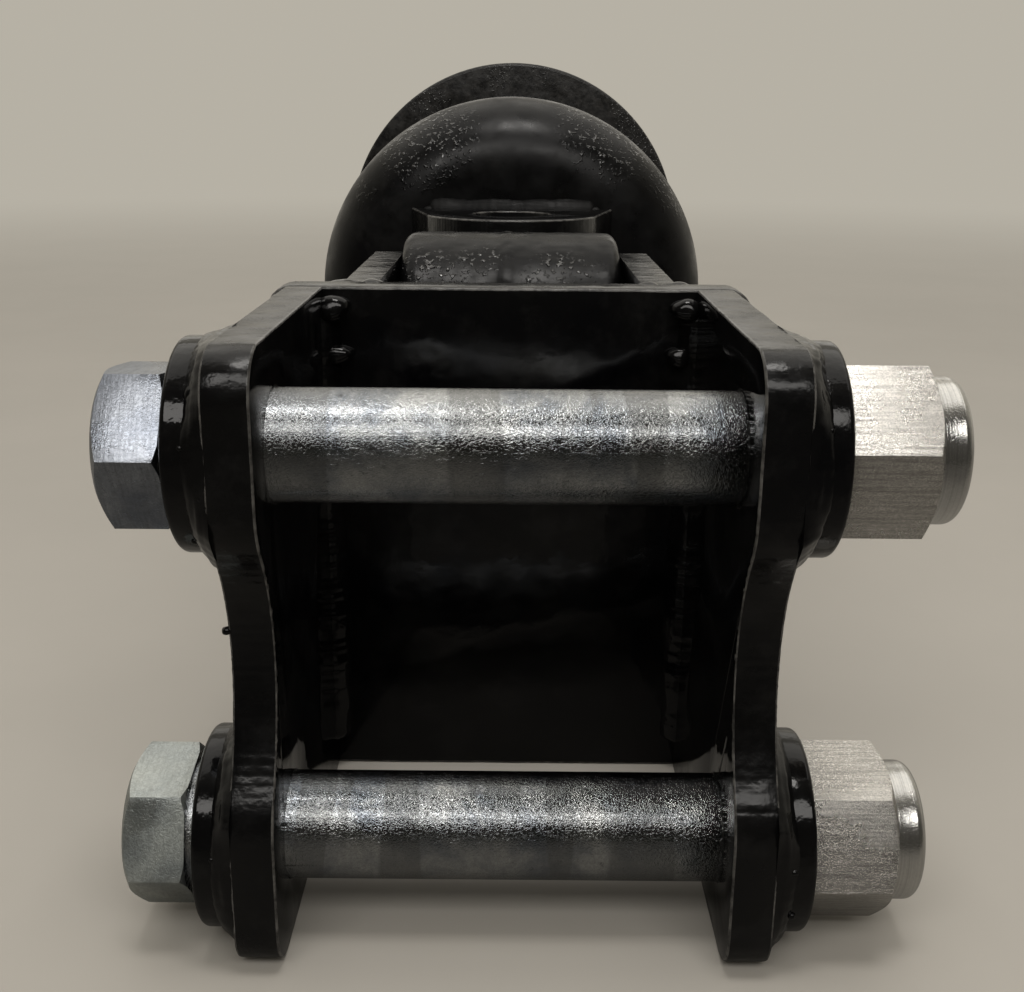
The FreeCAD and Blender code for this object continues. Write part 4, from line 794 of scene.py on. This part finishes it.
def knuckle():
    """The cast knuckle: soft blends, a rough skin and a parting line down the middle."""
    piece = copy_of("knuckle", "knuckle_casting")
    remesh = piece.modifiers.new("casting", "REMESH")
    remesh.mode = "VOXEL"
    remesh.voxel_size = 1.1 * MM
    smooth = piece.modifiers.new("blends", "SMOOTH")
    smooth.factor = 0.5
    smooth.iterations = 5
    skin = bpy.data.textures.new("cast_skin", "CLOUDS")
    skin.noise_scale = 0.006
    rough = piece.modifiers.new("skin", "DISPLACE")
    rough.texture = skin
    rough.strength = 0.5 * MM
    rough.mid_level = 0.5
    apply_modifiers(piece)
    for point in piece.data.vertices:
        off = abs(point.co.x - PARTING_LINE_X) / PARTING_LINE_HALF_WIDTH
        if off < 1 and point.normal.x ** 2 < 0.5:
            point.co += point.normal * (1 - off * off) * (0.35 + 0.5 * noise.noise(point.co * 260)) * MM
    pick(piece)
    bpy.ops.object.shade_smooth()
    hand_over(piece, ENAMEL_KNUCKLE, "knuckle")


# ---------------------------------------------------------------- stage, light and camera

PALE = (1.0, 0.935, 0.80)
SEEN_LEVEL = 0.47
LAMP_WHITE = (1, 0.97, 0.93)
LAMPS = (("ceiling_bright", (0.05, -0.95, 1.6), (0.05, -0.95, 0), 0.6, 0.40, 9),
         ("ceiling_low", (0, -1.75, 1.05), (0, -0.77, 0), 1.7, 0.40, 10),
         ("ceiling_back", (0, 0.9, 2.6), (0, 0.9, 0), 5.0, 3.5, 44),
         ("wall_glow", (0, 2.4, 1.0), (0, -0.4, 0), 3.0, 0.7, 3))
CAMERA_PLACE = (0.0011, -1.0472, 0.0745)
CAMERA_PITCH = 17
CAMERA_ROLL = 0.5
CAMERA_LENS = 43.2421875


def stage():
    """A wide pale floor that runs into the same pale all round. Ahead of the part its colour is painted darker for
    glossy rays only: painted shade that gloss and metal see there.
    """
    floor_dark, floor_light, floor_painted_shade = (0.38, 0.36, 0.325), (0.44, 0.415, 0.375), (0.060, 0.057, 0.052)
    floor_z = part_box("side_plate_left")[0].z
    middle_y = (cad_box[0].y + cad_box[1].y) / 2
    bpy.ops.mesh.primitive_plane_add(size=80, location=(0, 0, floor_z))
    floor = new_piece("studio_floor")
    settle(floor)
    paper = bpy.data.materials.new("studio_paper")
    paper.use_nodes = True
    tree = paper.node_tree
    shader = tree.nodes["Principled BSDF"]
    shader.inputs["Roughness"].default_value = 0.75
    shader.inputs["Specular IOR Level"].default_value = 0.3
    place = wire(tree, "TexCoord").outputs["Object"]
    place = wire(tree, "Mapping", {"Vector": place, "Location": (0, -middle_y, -floor_z)}).outputs["Vector"]
    cloud = grain(tree, place, 6, 5, 0.6)
    pale = mixed(tree, cloud, floor_dark, floor_light)
    front_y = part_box("side_plate_left")[0].y - middle_y
    along = wire(tree, "SeparateXYZ", {"Vector": place}).outputs["Y"]
    # Painted shade: ahead of the part the floor is darkened in what gloss and metal reflect, not in what the camera
    # sees.
    ahead = stepped(tree, along, front_y - 0.20, front_y + 0.06, 1, 0.6)
    painted_shade_for_gloss = sums(tree, "MULTIPLY", wire(tree, "LightPath").outputs["Is Glossy Ray"], ahead)
    tree.links.new(mixed(tree, painted_shade_for_gloss, pale, floor_painted_shade), shader.inputs["Base Color"])
    far = wire(tree, "VectorMath", {0: place}, operation="LENGTH").outputs["Value"]
    heading = wire(tree, "VectorMath", {0: place}, operation="NORMALIZE").outputs["Vector"]
    glow = wire(tree, "Emission", {"Color": (*PALE, 1), "Strength": background_level(tree, heading)})
    fade = stepped(tree, far, 0.3, 2.6, ease="SMOOTHSTEP")
    blend = wire(tree, "MixShader", {0: fade, 1: shader.outputs[0], 2: glow.outputs[0]})
    tree.links.new(blend.outputs[0], tree.nodes["Material Output"].inputs["Surface"])
    floor.data.materials.append(paper)
    world = bpy.data.worlds.new("studio_world")
    bpy.context.scene.world = world
    world.use_nodes = True
    tree = world.node_tree
    sky = tree.nodes["Background"]
    sky.inputs["Color"].default_value = (*PALE, 1)
    heading = wire(tree, "TexCoord").outputs["Generated"]
    tree.links.new(background_level(tree, heading), sky.inputs["Strength"])


def background_level(tree, heading):
    """The background's strength: what is seen, what metal and gloss show of the room, and what it gives as light.

    The room is pale behind the part and dim in front of it."""
    path = wire(tree, "LightPath").outputs
    along = wire(tree, "SeparateXYZ", {"Vector": heading}).outputs["Y"]
    room = stepped(tree, along, -0.4, 0.6, 0.05, 0.48)
    shown = sums(tree, "MAXIMUM", path["Is Glossy Ray"], path["Is Transmission Ray"])
    level = stepped(tree, shown, 0, 1, 0.30, room)
    return stepped(tree, path["Is Camera Ray"], 0, 1, level, SEEN_LEVEL)


def lights():
    """Soft lamps ahead of the part, over it and behind it, and the glow of the wall behind them."""
    for name, place, target, width, depth, watts in LAMPS:
        bpy.ops.object.light_add(type="AREA", location=place)
        light = bpy.context.object
        light.name = name
        light.data.shape = "RECTANGLE"
        light.data.size = width
        light.data.size_y = depth
        light.data.energy = watts
        light.data.color = LAMP_WHITE
        light.rotation_euler = (Vector(target) - Vector(place)).to_track_quat("-Z", "Y").to_euler()


def camera():
    """The camera ahead of the hitch, looking a little down on it."""
    bpy.ops.object.camera_add(location=CAMERA_PLACE)
    view = bpy.context.object
    view.name = "camera"
    tilt = Matrix.Rotation(math.radians(90 - CAMERA_PITCH), 4, "X")
    roll = Matrix.Rotation(math.radians(CAMERA_ROLL), 4, "Z")
    view.rotation_euler = (tilt @ roll).to_euler()
    view.data.sensor_fit = "HORIZONTAL"
    view.data.sensor_width = 36
    view.data.lens = CAMERA_LENS
    view.data.clip_start = 0.01
    view.data.clip_end = 50
    view.data.dof.use_dof = False
    bpy.context.scene.camera = view


# ---------------------------------------------------------------- build

random.seed(7)
for plate, thickness_axis in (("back_plate", 1), ("rear_ear_left", 0), ("rear_ear_right", 0),
                              ("hood_ear_upper", 2), ("hood_ear_lower", 2)):
    flame_cut(plate, thickness_axis)
for cheek_plate in ("side_plate_left", "side_plate_right"):
    flame_cut(cheek_plate, 0, dross=0.45)
for boss in ("boss_upper_left", "boss_upper_right", "boss_lower_left", "boss_lower_right"):
    turned_piece(boss, ENAMEL_BOSS)
turned_piece("hood_flange", ENAMEL_FLANGE)
for casting in ("ring_gear_housing", "output_housing", "input_cover", "motor_housing", "motor_end_cover"):
    turned_piece(casting, ENAMEL_CAST, 0.8 * MM)
hitch_pin("dipper_pin")
hitch_pin("link_pin")
for nut in ("dipper_pin_nut", "link_pin_nut"):
    lock_nut(nut)
for pin in ("pitch_pin", "side_pin"):
    turned_piece(pin, ZINC_PIN, 0.3 * MM)
for fitting in ("pitch_pin_bolt", "side_pin_bolt", "pitch_pin_nipple", "side_pin_nipple", "fill_plug",
                "drain_plug", "port_adapter_a", "port_adapter_b"):
    turned_piece(fitting, ZINC_FITTING, 0.3 * MM)
for screws in ("gearbox_bolts", "motor_bolts"):
    turned_piece(screws, BLACK_OXIDE, 0.4 * MM)
for bush in ("pitch_bush", "side_bush"):
    turned_piece(bush, BUSH_BRONZE, 0.3 * MM)
turned_piece("output_seal", SEAL_RUBBER, 0.3 * MM)
for steel in ("output_shaft", "motor_gerotor_ring", "motor_shaft", "sun_gear", "planet_gear_1", "planet_gear_2",
              "planet_gear_3", "planet_pins", "carrier_plate", "front_bearing_cone", "rear_bearing_cone",
              "front_bearing_cup", "rear_bearing_cup"):
    NODES[steel].data.materials.clear()
    NODES[steel].data.materials.append(BARE_STEEL)
cradle_welds()
boss_weld_rings()
ear_welds()
hood_flange_weld()
hood()
knuckle()
stage()
lights()
camera()
bpy.context.scene.view_settings.view_transform = "Standard"
